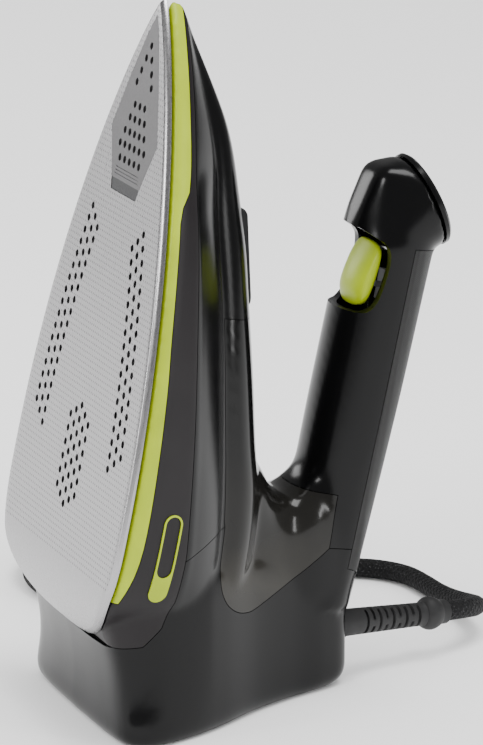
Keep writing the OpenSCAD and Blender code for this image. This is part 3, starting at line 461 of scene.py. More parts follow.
def inset(points, by):
    """A closed outline moved inwards by an amount, along the mean of the normals at each corner."""
    p = np.asarray(points, float)
    p = p[np.linalg.norm(p - np.roll(p, 1, 0), axis=1) > 1e-6]
    d = np.roll(p, -1, 0) - p
    normal = np.stack([-d[:, 1], d[:, 0]], -1) / np.linalg.norm(d, axis=1)[:, None]
    area = np.sum(p[:, 0] * np.roll(p[:, 1], -1) - np.roll(p[:, 0], -1) * p[:, 1])
    before = np.roll(normal, 1, 0)
    mitre = (normal + before) / np.maximum(1 + np.sum(normal * before, 1), 0.35)[:, None]
    return p + mitre * by * np.sign(area)


def outlines():
    """Side-view outlines of the housings, as depth and height."""
    edge, nose, top = size("sole_t") + size("slit"), size("sole_len"), size("handle_top")
    grip = size("handle_n") + 5
    roll = np.linspace(20, 0, 9)
    tank_edge = [[106, 41], [101, 36], [92, 28], [76, 18], [69, 16], [62, 17.5], [56, 22], [52.5, 30]]
    tank_round = through(np.array([[106, 41]] + tank_edge[1:] + [[51, 50]]), 4)
    joined = np.concatenate
    return {
        "skirt": joined([[[edge - 6, 20]], line_up(LIME, 20, nose + 4), [[edge - 6, nose + 4]]]),
        "lower_housing": joined([[[edge + size("curl") + 1, 0], [22, 3], [28, 11], [30.5, 22], [30, 39]],
                                 line_up(SPLIT, 42, nose + 4), line_up(LIME, nose + 4, 20),
                                 np.stack([edge + rolled(roll), roll], -1)]),
        "upper_body": joined([[[30, 39]], line_up(SPLIT, 42, nose + 4), [[88, nose + 4], [88, 128]],
                              line_up(CREASE, 128, 52), [[51, 50]]]),
        "water_tank": joined([[[51, 50]], line_up(CREASE, 52, 128), [[88, 128], [88, 62], [106, 62]], tank_round[:-1]]),
        "handle_inner": np.array([[88, 62], [106, 62], [106, 41], [grip, 41], [grip, top], [150, top],
                                  [150, top + 60], [80, top + 60], [80, top]]),
        "handle_grip": np.array([[grip, 33], [150, 24], [150, top], [grip, top]]),
        "heel_shell": joined([tank_round[::-1], [[grip, 41], [grip, 33], [150, 24], [180, -70], [-60, -70],
                              [-30, -12], [edge, -4], [edge + size("curl"), -1], [edge + size("curl") + 1, 0],
                              [22, 3], [28, 11], [30.5, 22], [30, 39]]]),
    }


def side_prism(points, wide=95.0):
    """Solid of a side-view outline, right through the iron's width."""
    p = np.asarray(points, float)
    return new_piece("side_prism", prism("side_prism", world(-wide, p[:, 0], p[:, 1]), world(wide, p[:, 0], p[:, 1])))


def round_rect(w, h, r, steps=8):
    """Outline of a rectangle with round corners."""
    a = np.linspace(0, pi/2, steps)
    corner = np.stack([np.cos(a), np.sin(a)], -1) * r
    turns = [(w/2 - r, h/2 - r, 0), (-w/2 + r, h/2 - r, 1), (-w/2 + r, -h/2 + r, 2), (w/2 - r, -h/2 + r, 3)]
    return np.concatenate([np.stack([corner @ np.array([cos(k*pi/2), -sin(k*pi/2)]),
                                     corner @ np.array([sin(k*pi/2), cos(k*pi/2)])], -1) + [x, y]
                           for x, y, k in turns])


# ------------------------------------------------------------------ finishes


def finish_nodes(name):
    """An empty material: its nodes, its links, its surface shader and its object coordinates."""
    material = bpy.data.materials.new(name)
    material.use_nodes = True
    nodes, links = material.node_tree.nodes, material.node_tree.links
    return material, nodes, links, nodes["Principled BSDF"], nodes.new("ShaderNodeTexCoord").outputs["Object"]


def noise(nodes, links, place, scale, detail=3.0):
    texture = nodes.new("ShaderNodeTexNoise")
    texture.inputs["Scale"].default_value, texture.inputs["Detail"].default_value = scale, detail
    links.new(place, texture.inputs["Vector"])
    return texture.outputs["Fac"]


def ramp(nodes, links, value, stops):
    """Colours or greys spread over a value, as pairs of place and colour."""
    node = nodes.new("ShaderNodeValToRGB")
    for i, (at, tint) in enumerate(stops):
        e = node.color_ramp.elements[i] if i < 2 else node.color_ramp.elements.new(at)
        e.position, e.color = at, tint if isinstance(tint, tuple) else (tint, tint, tint, 1)
    links.new(value, node.inputs["Fac"])
    return node.outputs["Color"]


def bump(nodes, links, shader, height, strength, distance, before=None):
    node = nodes.new("ShaderNodeBump")
    node.inputs["Strength"].default_value, node.inputs["Distance"].default_value = strength, distance
    links.new(height, node.inputs["Height"])
    if before:
        links.new(before, node.inputs["Normal"])
    links.new(node.outputs["Normal"], shader.inputs["Normal"])
    return node.outputs["Normal"]


def math(nodes, links, operation, a, b=0.0):
    """A calculation on two values, each a number or another node's output."""
    node = nodes.new("ShaderNodeMath")
    node.operation = operation
    for socket, value in zip(node.inputs, (a, b)):
        if isinstance(value, (int, float)):
            socket.default_value = value
        else:
            links.new(value, socket)
    return node.outputs[0]


def times(tint, share):
    """The colour made darker or lighter by a share."""
    return tuple(min(1, c * share) for c in tint[:3]) + (1,)


def plastic(name, tint, rough, grain=900.0, depth=0.00002, gloss=0.3, spread=0.06):
    """Moulded plastic: fine grain, with slow changes of gloss."""
    material, nodes, links, shader, place = finish_nodes(name)
    tints = [(0.3, times(tint, 0.9)), (0.7, times(tint, 1.1))]
    links.new(ramp(nodes, links, noise(nodes, links, place, 60, 4), tints), shader.inputs["Base Color"])
    gloss_range = [(0.3, max(0.02, rough - spread)), (0.7, rough + spread)]
    links.new(ramp(nodes, links, noise(nodes, links, place, 35, 2), gloss_range), shader.inputs["Roughness"])
    shader.inputs["Specular IOR Level"].default_value = gloss
    bump(nodes, links, shader, noise(nodes, links, place, grain, 2), 0.25, depth)
    return material


def rubber_finish(name, tint, rough=0.62, grain=2200.0):
    """Soft rubber: dull, with a fine moulded grain."""
    material, nodes, links, shader, place = finish_nodes(name)
    shader.inputs["Base Color"].default_value = tint
    links.new(ramp(nodes, links, noise(nodes, links, place, 80, 3), [(0.3, rough - 0.08), (0.7, rough + 0.08)]),
              shader.inputs["Roughness"])
    bump(nodes, links, shader, noise(nodes, links, place, grain, 2), 0.35, 0.00006)
    return material


def along_sole(nodes, links, place):
    """Object coordinates turned so that Z runs up the sole and Y into it, from its heel edge."""
    turn = nodes.new("ShaderNodeMapping")
    turn.vector_type = "TEXTURE"
    o = world(0.0, 0.0, 0.0)
    turn.inputs["Location"].default_value = [float(v) for v in o]
    turn.inputs["Rotation"].default_value = (-bpy.context.scene.iron_sizes.tilt, 0, 0)
    links.new(place, turn.inputs["Vector"])
    split = nodes.new("ShaderNodeSeparateXYZ")
    links.new(turn.outputs["Vector"], split.inputs[0])
    return turn.outputs["Vector"], split.outputs


def dot_rows(nodes, links, axes, across, up, radius):
    """1 inside small dots on a staggered grid, else 0: the distance from the nearest grid point, against a radius."""
    row = math(nodes, links, "DIVIDE", axes["Z"], up)
    shift = math(nodes, links, "MULTIPLY", math(nodes, links, "MODULO", math(nodes, links, "FLOOR", row), 2.0), 0.5)
    column = math(nodes, links, "ADD", math(nodes, links, "DIVIDE", axes["X"], across), shift)
    off = math(nodes, links, "SUBTRACT", math(nodes, links, "FRACT", column), 0.5)
    dx = math(nodes, links, "MULTIPLY", off, across)
    dz = math(nodes, links, "MULTIPLY", math(nodes, links, "SUBTRACT", math(nodes, links, "FRACT", row), 0.5), up)
    r2 = math(nodes, links, "ADD", math(nodes, links, "MULTIPLY", dx, dx), math(nodes, links, "MULTIPLY", dz, dz))
    return math(nodes, links, "LESS_THAN", r2, radius * radius)


def sole_finish():
    """Satin metal: fine brushing across the sole, and staggered rows of pressed dots, darkened in colour as painted
    shade in the dimples.
    """
    material, nodes, links, shader, place = finish_nodes("sole_metal")
    turned, axes = along_sole(nodes, links, place)
    stretch = nodes.new("ShaderNodeMapping")
    stretch.inputs["Scale"].default_value = (1500, 1500, 60)
    links.new(turned, stretch.inputs["Vector"])
    brush = noise(nodes, links, stretch.outputs["Vector"], 1.0, 2)
    flat = math(nodes, links, "MULTIPLY", math(nodes, links, "LESS_THAN", axes["Y"], 0.00005),
                math(nodes, links, "GREATER_THAN", axes["Z"], 0.024))
    dots = math(nodes, links, "MULTIPLY", dot_rows(nodes, links, axes, 0.0019, 0.0022, 0.0004), flat)
    tint = colour("silver")
    mix = nodes.new("ShaderNodeMix")
    mix.data_type = "RGBA"
    links.new(dots, mix.inputs["Factor"])
    links.new(ramp(nodes, links, brush, [(0.3, times(tint, 0.96)), (0.7, tint)]), mix.inputs["A"])
    # painted shade: inside the pressed dots the colour drops to 40% of the silver, for the shade in the dimples
    mix.inputs["B"].default_value = times(tint, 0.40)
    links.new(mix.outputs["Result"], shader.inputs["Base Color"])
    shader.inputs["Metallic"].default_value = 1.0
    links.new(ramp(nodes, links, brush, [(0.3, 0.25), (0.7, 0.31)]), shader.inputs["Roughness"])
    normal = bump(nodes, links, shader, brush, 0.05, 0.00002)
    bump(nodes, links, shader, math(nodes, links, "SUBTRACT", 1.0, dots), 0.4, 0.00006, normal)
    return material


def insert_finish():
    """Darker satin metal with a near-black band at its lower end."""
    material, nodes, links, shader, place = finish_nodes("insert_metal")
    turned, axes = along_sole(nodes, links, place)
    low = math(nodes, links, "LESS_THAN", axes["Z"], 0.1698 * size("sole_len") / 240)
    mix = nodes.new("ShaderNodeMix")
    mix.data_type = "RGBA"
    links.new(low, mix.inputs["Factor"])
    links.new(ramp(nodes, links, noise(nodes, links, place, 900, 2),
                   [(0.3, times(colour("insert"), 0.92)), (0.7, colour("insert"))]), mix.inputs["A"])
    mix.inputs["B"].default_value = colour("band")
    links.new(mix.outputs["Result"], shader.inputs["Base Color"])
    shader.inputs["Metallic"].default_value = 0.9
    links.new(ramp(nodes, links, noise(nodes, links, place, 1400, 2), [(0.3, 0.36), (0.7, 0.46)]),
              shader.inputs["Roughness"])
    bump(nodes, links, shader, noise(nodes, links, place, 2600, 2), 0.2, 0.00003)
    return material


def metal(name, tint, rough):
    material, nodes, links, shader, place = finish_nodes(name)
    links.new(ramp(nodes, links, noise(nodes, links, place, 300, 3),
                   [(0.3, times(tint, 0.88)), (0.7, tuple(tint) + (1,))]), shader.inputs["Base Color"])
    shader.inputs["Metallic"].default_value = 1.0
    links.new(ramp(nodes, links, noise(nodes, links, place, 500, 3), [(0.3, rough - 0.06), (0.7, rough + 0.06)]),
              shader.inputs["Roughness"])
    return material


def tank_finish():
    """Smoke-dark plastic with a hard gloss: black higher up, and low down a lighter warm grey band that is a painted
    reflection.
    """
    material, nodes, links, shader, place = finish_nodes("tank_plastic")
    turned, axes = along_sole(nodes, links, place)
    # painted reflection: the base colour is a lighter warm grey in a band low on the tank, by height along the sole,
    # with noisy edges, and near black higher up
    reflection_wobble = math(nodes, links, "MULTIPLY", noise(nodes, links, place, 34, 2), 0.05)
    height = math(nodes, links, "ADD", axes["Z"], reflection_wobble)
    links.new(ramp(nodes, links, math(nodes, links, "MULTIPLY", height, 8.0),
                   [(0.22, (0.010, 0.0095, 0.008, 1)), (0.40, (0.021, 0.0195, 0.016, 1)),
                    (0.58, (0.009, 0.0085, 0.0075, 1)), (0.9, (0.003, 0.003, 0.003, 1))]), shader.inputs["Base Color"])
    shader.inputs["Roughness"].default_value = 0.14
    shader.inputs["Specular IOR Level"].default_value = 0.25
    shader.inputs["IOR"].default_value = 1.49
    bump(nodes, links, shader, noise(nodes, links, place, 40, 1), 0.05, 0.0001)
    return material


def grip_finish():
    """Soft-touch black with a small woven-looking relief, from the iron's own axes."""
    material, nodes, links, shader, place = finish_nodes("grip_rubber")
    turned, axes = along_sole(nodes, links, place)
    ribs = 3600.0
    across = math(nodes, links, "MULTIPLY", math(nodes, links, "ADD", axes["X"], axes["Z"]), ribs)
    along = math(nodes, links, "MULTIPLY", math(nodes, links, "SUBTRACT", axes["Y"], axes["Z"]), ribs)
    a, b = math(nodes, links, "SINE", across), math(nodes, links, "SINE", along)
    weave = math(nodes, links, "MULTIPLY", a, b)
    links.new(ramp(nodes, links, weave, [(0.35, (0.004, 0.004, 0.004, 1)), (0.75, (0.012, 0.012, 0.0125, 1))]),
              shader.inputs["Base Color"])
    shader.inputs["Roughness"].default_value = 0.42
    shader.inputs["Specular IOR Level"].default_value = 0.3
    bump(nodes, links, shader, weave, 0.6, 0.00025)
    return material


def braid_finish():
    """Braided cover: two sets of strands crossing on the cord's own map, with pale flecks."""
    material, nodes, links, shader, place = finish_nodes("cord_braid")
    chart = nodes.new("ShaderNodeUVMap")
    chart.uv_map = "along"
    split = nodes.new("ShaderNodeSeparateXYZ")
    links.new(chart.outputs["UV"], split.inputs[0])
    axes = split.outputs
    around = math(nodes, links, "MULTIPLY", axes["Y"], 2 * pi * 8)
    ahead = math(nodes, links, "MULTIPLY", axes["X"], 2100.0)
    a = math(nodes, links, "SINE", math(nodes, links, "ADD", around, ahead))
    b = math(nodes, links, "SINE", math(nodes, links, "SUBTRACT", around, ahead))
    strands = math(nodes, links, "MAXIMUM", a, b)
    flecks = math(nodes, links, "GREATER_THAN", noise(nodes, links, place, 1500, 1), 0.64)
    flecks = math(nodes, links, "MULTIPLY", flecks, strands)
    links.new(ramp(nodes, links, flecks, [(0.2, (0.006, 0.006, 0.0065, 1)), (0.9, (0.05, 0.05, 0.052, 1))]),
              shader.inputs["Base Color"])
    shader.inputs["Roughness"].default_value = 0.72
    shader.inputs["Specular IOR Level"].default_value = 0.2
    bump(nodes, links, shader, strands, 0.8, 0.00035)
    return material


FINISHES = {}


def finishes():
    """Every finish, made once."""
    if not FINISHES:
        grey = (0.30, 0.30, 0.31, 1)
        FINISHES.update({
            "sole_metal": sole_finish(), "insert_metal": insert_finish(),
            "cast_metal": metal("cast_metal", (0.05, 0.05, 0.052), 0.6),
            "heater": metal("heater", (0.30, 0.26, 0.22), 0.42),
            "steel_parts": metal("steel_parts", (0.62, 0.62, 0.63), 0.22),
            "lime_plastic": plastic("lime_plastic", colour("lime"), 0.36, gloss=0.28),
            "housing_plastic": plastic("housing_plastic", colour("housing"), 0.38, 1600, 0.00004, 0.22),
            "black_gloss": plastic("black_gloss", colour("black"), 0.2, 500, 0.00001, 0.2, 0.03),
            "tank_plastic": tank_finish(), "grip_rubber": grip_finish(),
            "soft_rubber": rubber_finish("soft_rubber", colour("rubber")),
            "inner_plastic": plastic("inner_plastic", grey, 0.5),
            "white_plastic": plastic("white_plastic", (0.7, 0.7, 0.66, 1), 0.3),
            "board_green": plastic("board_green", (0.02, 0.11, 0.04, 1), 0.3), "cord_braid": braid_finish()})
    return FINISHES


# ------------------------------------------------------------------ operators


class Build:
    """Common to the operators that build the iron."""

    bl_options = {"REGISTER", "UNDO"}


class IRON_OT_camera(Build, bpy.types.Operator):
    """Puts the camera in front of the soleplate, to its right and above"""

    bl_idname = "iron.camera"
    bl_label = "Camera"

    def execute(self, context):
        lens = bpy.data.cameras.new("camera")
        lens.lens, lens.clip_end = 226.04, 30
        camera = bpy.data.objects.new("camera", lens)
        context.scene.collection.objects.link(camera)
        camera.location = (1.6262, -0.6385, 0.5871)
        aim = Vector((0, 0.01265, 0.12865)) - camera.location
        camera.rotation_euler = aim.to_track_quat("-Z", "Y").to_euler()
        context.scene.camera = camera
        return {"FINISHED"}


LEAD = [(-0.0149, 0.1143, 0.0166), (-0.0212, 0.1221, 0.0146), (-0.0296, 0.1275, 0.0122), (-0.0393, 0.1301, 0.0097),
        (-0.0500, 0.1310, 0.0074), (-0.0620, 0.1311, 0.0054), (-0.0750, 0.1311, 0.0042), (-0.0880, 0.1309, 0.004),
        (-0.1010, 0.1294, 0.004), (-0.1108, 0.1247, 0.004), (-0.1179, 0.1176, 0.004), (-0.1224, 0.1087, 0.004),
        (-0.1240, 0.0990, 0.004), (-0.1218, 0.0880, 0.004), (-0.1125, 0.0785, 0.004)]
TAIL = [(-0.1945, -0.002, 0.0113), (-0.204, 0.002, 0.0125), (-0.2135, 0.009, 0.0145), (-0.2205, 0.018, 0.017),
        (-0.225, 0.028, 0.0187), (-0.226, 0.036, 0.019)]
COIL_AT = (-0.15, 0.034)
EXIT_YAW, EXIT_DROOP = radians(13), radians(5)


def exit_frame():
    """Where the cord leaves the heel: the place, the way out, and two axes across it."""
    way = np.array([-sin(EXIT_YAW) * cos(EXIT_DROOP), cos(EXIT_YAW) * cos(EXIT_DROOP), -sin(EXIT_DROOP)])
    side = np.array([cos(EXIT_YAW), sin(EXIT_YAW), 0.0])
    return np.array([0, size("foot_len") / 2000, 0.022]), way, side, np.cross(side, way)


def coil_points():
    """Turns of the coil: three side by side from the outside in, then three on top of them from the inside out."""
    u = np.linspace(0, 6.0, 289)

    def step(at, width):
        k = np.clip((u - at) / width + 0.5, 0, 1)
        return k * k * (3 - 2 * k)

    d = size("cord_d") / 1000
    first = atan2(0.0445, 0.0375)
    last = atan2(-0.036, -0.0445)
    turns = 5 * 2 * pi + (first - last) % (2 * pi)
    radius = 0.0572 - 0.0042 * step(0.08, 0.22) - d * step(1.08, 0.2) - d * step(2.3, 0.2)
    radius += d * step(4.3, 0.2) + d * step(5.3, 0.2) + 0.0035 * step(5.92, 0.2)
    z = d / 2 + 0.9 * d * step(3.15, 0.3)
    angle = first - turns * u / 6
    return np.stack([COIL_AT[0] + radius * np.cos(angle), COIL_AT[1] + radius * np.sin(angle), z], -1)


class IRON_OT_cord(Build, bpy.types.Operator):
    """Sweeps the braided cord from its guard through its coil to the plug"""

    bl_idname = "iron.cord"
    bl_label = "Cord"

    def execute(self, context):
        start, way, side, up = exit_frame()
        end = start + (size("guard_len") + 12) / 1000 * way
        lead = through(np.array([end] + [np.array(p) for p in LEAD]), 4)
        line = np.concatenate([lead[:-1], coil_points()[1:-1], through(np.array(TAIL), 4)])
        line = through(line[::2], 3)
        tangent = np.gradient(line, axis=0)
        tangent /= np.linalg.norm(tangent, axis=1)[:, None]
        across = np.cross(tangent, [0, 0, 1.0])
        across /= np.linalg.norm(across, axis=1)[:, None]
        above = np.cross(across, tangent)
        a = np.linspace(0, 2*pi, 17)
        r = size("cord_d") / 2000
        rings = line[:, None] + r * (np.cos(a)[:, None] * across[:, None] + np.sin(a)[:, None] * above[:, None])
        far = np.concatenate([[0], np.cumsum(np.linalg.norm(np.diff(line, axis=0), axis=1))])
        count = len(line)
        mesh = bpy.data.meshes.new("cord")
        caps = [list(range(16)), [(count - 1) * 17 + i for i in range(15, -1, -1)]]
        mesh.from_pydata(rings.reshape(-1, 3).tolist(), [], grid_faces(count, 17) + caps)
        chart = mesh.uv_layers.new(name="along")
        index = np.empty(len(mesh.loops), int)
        mesh.loops.foreach_get("vertex_index", index)
        uv = np.stack([np.repeat(far, 17), np.tile(a / (2*pi), count)], -1)[index]
        chart.data.foreach_set("uv", uv.astype(np.float32).ravel())
        outward(mesh)
        cord = new_piece("cord", mesh)
        finished(cord, "iron", ["cord_lead", "cord_coil", "cord_tail"], finishes()["cord_braid"], 60)
        size("cord_d") / 1000
        return {"FINISHED"}


class IRON_OT_guard(Build, bpy.types.Operator):
    """Makes the tapered cord guard with its staggered slots, and the ball collar on its end"""

    bl_idname = "iron.guard"
    bl_label = "Cord guard"

    def execute(self, context):
        start, way, side, up = exit_frame()
        length = size("guard_len")
        z, a = np.meshgrid(np.linspace(-2, length, 190), np.linspace(0, 2*pi, 96, endpoint=False), indexing="ij")
        pitch = 6.55 / 2
        k = (z - 7) / pitch
        inside = np.clip(1 - np.abs((k % 1) - 0.5) * 5.2, 0, 0.35) / 0.35
        slot = inside * (z > 7) * (z < length - 3)
        bridge = np.clip((np.abs(np.cos(a + (np.floor(k) % 2) * pi / 2)) - 0.24) * 9, 0, 1)
        r = 5.5 - 0.8 * z / length - 1.05 * slot * bridge + 0.35 * np.exp(-((z - length) / 1.0) ** 2)
        rings = start + (z / 1000)[..., None] * way + (r / 1000)[..., None] * (
            np.cos(a)[..., None] * side + np.sin(a)[..., None] * up)
        guard = new_piece("guard", lofted("guard", rings))
        finished(guard, "iron", "cord_guard", finishes()["soft_rubber"], 50)
        profile = np.array([[length - 0.02, 4.7], [length + 0.4, 5.4], [length + 1.4, 6.2], [length + 3.2, 6.75],
                            [length + 5.0, 6.6], [length + 6.8, 5.9], [length + 8.0, 5.2], [length + 9.6, 4.95],
                            [length + 11.4, 4.85], [length + 12, 4.3]])
        profile = through(profile, 5)
        b = np.linspace(0, 2*pi, 72, endpoint=False)
        z, r = profile[:, :1], profile[:, 1:]
        rings = start + (z / 1000)[..., None] * way + (r / 1000)[..., None] * (
            np.cos(b)[None, :, None] * side + np.sin(b)[None, :, None] * up)
        collar = new_piece("collar", lofted("collar", rings))
        finished(collar, "iron", "guard_collar", finishes()["soft_rubber"], 50)
        return {"FINISHED"}


def door_frame():
    """Middle of the filler door on the back line, and the slope of the back there."""
    low, length = 129.0, 40.0
    tilt = atan2(float(curve(low, BACK) - curve(low + length, BACK)), length)
    return float(curve(low + length / 2, BACK)), low + length / 2, tilt


def door_prism():
    """Solid that cuts the filler door's opening: a rectangle with round lower corners."""
    n0, s0, tilt = door_frame()
    w, h = 17.8, 40.8
    p = round_rect(w, h, 5)
    square = p.copy()
    upper = square[:, 1] > 0
    square[upper, 0] = np.sign(square[upper, 0]) * w / 2
    square[upper & (p[:, 1] > h/2 - 4.99), 1] = h / 2

    def at(depth):
        return world(square[:, 0], n0 + depth * cos(tilt) - square[:, 1] * sin(tilt),
                     s0 + depth * sin(tilt) + square[:, 1] * cos(tilt))
    return new_piece("door_prism", prism("door_prism", at(-9.0), at(12.0)))


def spray_prism():
    """Round hole for the spray nozzle."""
    a, tilt = np.linspace(0, 2*pi, 48, endpoint=False), radians(48)
    r = 3.75

    def at(z):
        v, x = r * np.sin(a), r * np.cos(a)
        return world(x, 12.4 + v * cos(tilt) + z * sin(tilt), 211.6 - v * sin(tilt) + z * cos(tilt))
    return new_piece("spray_prism", prism("spray_prism", at(-1.0), at(34.0)))


def trigger_opening():
    """Side view of the opening for the trigger."""
    n, top = size("handle_n"), size("handle_top")
    low = top - size("trigger_len")
    back = through(np.array([[n - 13, low - 1.2], [n - 9.5, low - 0.3], [n - 6.6, low + 3.2], [n - 5.2, low + 9],
                             [n - 4.4, low + 16], [n - 4.3, top - 6], [n - 5.4, top - 1.6], [n - 8, top + 1.0]]), 5)
    return np.concatenate([[[80, low - 1.6]], back, [[n - 11, top + 2.2], [n - 15.5, top + 4.2], [80, top + 6]]])


SKINS = [("upper_body", "black_gloss"), ("water_tank", "tank_plastic"), ("heel_shell", "black_gloss"),
         ("handle_inner", "black_gloss"), ("handle_grip", "grip_rubber"),
         ("skirt", "lime_plastic"), ("lower_housing", "housing_plastic")]


class IRON_OT_skins(Build, bpy.types.Operator):
    """Blends the outer forms into one skin, hollows it and parts it along the housings' seams"""

    bl_idname = "iron.skins"
    bl_label = "Housings"

    def execute(self, context):
        voxel, wall = size("voxel") / 1000, size("wall")
        skin = blended("skin", [body_form(), heel_form(), saddle_form(), bar_form(), head_form()], voxel, 8)
        inner = blended("inner", [body_form(wall), heel_form(wall), saddle_form(wall), bar_form(wall), head_form(wall)],
                        1.6 * voxel, 0)
        shell = carve(copied(skin, "shell"), inner)
        lines = outlines()
        for name, slot in SKINS:
            piece = carve(copied(shell, name + "_skin"), side_prism(inset(lines[name], size("seam") / 2)), "INTERSECT")
            if name == "upper_body":
                carve(piece, door_prism())
                carve(piece, spray_prism())
            if name == "handle_inner":
                carve(piece, side_prism(trigger_opening()))
            if name == "heel_shell":
                start, way, side, up = exit_frame()
                a = np.linspace(0, 2*pi, 64, endpoint=False)[:, None]
                ring = start + 0.0064 * (np.cos(a) * side + np.sin(a) * up)
                carve(piece, new_piece("exit_hole", prism("exit_hole", ring - 0.02 * way, ring + 0.02 * way)))
            nodes = [name, "handle_head"] if name == "handle_inner" else name
            finished(piece, "iron", nodes, finishes()[slot], 32)
        self.badges(skin)
        for spare in (skin, shell):
            bpy.data.objects.remove(spare)
        return {"FINISHED"}

    def badges(self, skin):
        """Trim on the flanks: the skin raised along its normals inside a pill, opened in its upper part."""
        n, low, high, r = 21.2, 26.0, 53.0, 4.0

        def pill(shrink, z0, z1):
            a = np.linspace(0, pi, 20)
            c = np.stack([np.cos(a), np.sin(a)], -1) * (r - shrink)
            return np.concatenate([c + [n, z1], -c + [n, z0]])

        raised = copied(skin, "raised")
        mesh = raised.data
        place, normal = np.empty((2, len(mesh.vertices) * 3), np.float32)
        mesh.vertices.foreach_get("co", place)
        mesh.vertex_normals.foreach_get("vector", normal)
        mesh.vertices.foreach_set("co", place + 0.0005 * normal)
        mesh.update()
        carve(raised, side_prism(pill(0, low, high)), "INTERSECT")
        carve(raised, side_prism(pill(0.75, low + 9.5, high)))
        carve(raised, skin, keep=True)
        raised.name = "side_badge_trim"
        finished(raised, "iron", "side_badges", finishes()["lime_plastic"], 40)


class IRON_OT_sole(Build, bpy.types.Operator):
    """Makes the soleplate: a smooth face rolled back at the heel, a bright bevel, and the steam holes"""

    bl_idname = "iron.sole"
    bl_label = "Soleplate"

    def execute(self, context):
        t = size("sole_t")
        rim, face = sole_outline(1.0), sole_outline(-0.4)
        core = np.stack([0 * face[:, 0], np.clip(face[:, 1], 60, 195)], -1)
        rings = []
        for share in np.linspace(0, 1, 26):
            p = core + (face - core) * share
            rings.append(world(p[:, 0], rolled(p[:, 1]), p[:, 1]))
        for grow, depth in ((-0.1, 0.12), (0.55, 0.85), (1.0, 1.6), (1.05, t)):
            p = sole_outline(grow)
            rings.append(world(p[:, 0], depth + rolled(p[:, 1]), p[:, 1]))
        for share in np.linspace(1, 0, 14):
            p = core + (rim - core) * share
            rings.append(world(p[:, 0], t + rolled(p[:, 1]), p[:, 1]))
        rings = np.array(rings)
        count, per = rings.shape[:2]
        i, j = np.meshgrid(np.arange(count - 1), np.arange(per), indexing="ij")
        a, b = i * per + j, i * per + (j + 1) % per
        faces = np.stack([a, b, b + per, a + per], -1).reshape(-1, 4).tolist()
        mesh = bpy.data.meshes.new("soleplate")
        mesh.from_pydata(rings.reshape(-1, 3).tolist(), [], faces)
        outward(mesh, 2e-6)
        sole = new_piece("sole_metal_plate", mesh)
        carve(sole, self.insert_prism())
        carve(sole, self.holes())
        finished(sole, "iron", "soleplate", finishes()["sole_metal"], 28)
        return {"FINISHED"}

    def insert_prism(self):
        half = np.array([[0, 235], [3.6, 230.5], [9, 221], [15.2, 208.5], [20.8, 196], [24.2, 188.3], [14.6, 169.6],
                         [13.2, 165.2]])
        p = np.concatenate([half, (half * [-1, 1])[:0:-1]])
        front, back = world(p[:, 0], -2.0, p[:, 1]), world(p[:, 0], 1.2, p[:, 1])
        return new_piece("insert_prism", prism("insert_prism", front, back))

    def holes(self):
        """Round cutters at every steam hole: three curved columns each side, a hexagon and the tip's holes."""
        i = np.arange(-8, 9)
        spots = [np.stack([x0 + k * i - 0.0424 * i * i, s0 - 5.11 * i], -1)
                 for x0, s0, k in ((30.6, 107.6, 1.108), (35.3, 111.1, 1.167), (40, 114.6, 1.226))]
        spots += [p * [-1, 1] for p in spots]
        for column, count in ((-2, 6), (-1, 7), (0, 8), (1, 7), (2, 6)):
            k = np.arange(count)
            spots.append(np.stack([column * 4.81 + 0 * k, 63 + (count - 1) * 2.79 - k * 5.58], -1))
        for count, s in ((3, 199.5), (4, 194.1), (5, 188.7), (6, 183.4), (5, 178.0)):
            spots.append(np.stack([(np.arange(count) - (count - 1) / 2) * 5.06, s + 0.0 * np.arange(count)], -1))
        tip = np.array([[2.8, 217.9], [5.3, 212.8], [7.6, 207.9]])
        spots += [tip, tip * [-1, 1], np.array([[0, 223.0]])]
        spots = np.concatenate(spots)
        a = np.linspace(0, 2*pi, 24, endpoint=False)
        x = spots[:, :1] + 1.45 * np.cos(a)
        s = spots[:, 1:] + 1.45 * np.sin(a)
        low, high = world(x, -2.0, s), world(x, 6.0, s)
        points = np.concatenate([low, high], 1)
        one = [list(range(24)), list(range(47, 23, -1))]
        one += [[k, k + 24, (k + 1) % 24 + 24, (k + 1) % 24] for k in range(24)]
        faces = [[v + 48 * h for v in f] for h in range(len(spots)) for f in one]
        mesh = bpy.data.meshes.new("hole_cutters")
        mesh.from_pydata(points.reshape(-1, 3).tolist(), [], faces)
        return new_piece("hole_cutters", outward(mesh))


class IRON_OT_trigger(Build, bpy.types.Operator):
    """Makes the thumb trigger: rounded ovals from its lower to its upper end"""

    bl_idname = "iron.trigger"
    bl_label = "Trigger"

    def execute(self, context):
        n, top = size("handle_n"), size("handle_top")
        low = top - size("trigger_len") + 0.3
        high = top - 0.9
        u = np.sin(np.linspace(-pi/2, pi/2, 48))[:, None]
        s = (low + high) / 2 + (high - low) / 2 * u
        ends = (1 - np.abs(u) ** 4.5) ** (1 / 3.2) * 0.985 + 0.015
        wide = 11.6 * ends
        front = n + curve(s, [[low, -11.6], [low + 7, -12.9], [low + 17, -11.2], [high, -8.2]])
        back = n + curve(s, [[low, -8.2], [low + 12, -6.0], [high, -5.4]])
        mid, deep = (front + back) / 2, (back - front) / 2 * (0.35 + 0.65 * ends)
        a = np.linspace(0, 2*pi, 72, endpoint=False)
        x = wide * np.sign(np.cos(a)) * np.abs(np.cos(a)) ** 0.62
        depth = mid + deep * np.sign(np.sin(a)) * np.abs(np.sin(a)) ** 0.62 + 0.011 * x * x
        trigger = new_piece("thumb_trigger", lofted("thumb_trigger", world(x, depth, s)))
        finished(trigger, "trigger_arm", "trigger", finishes()["lime_plastic"], 50)
        return {"FINISHED"}


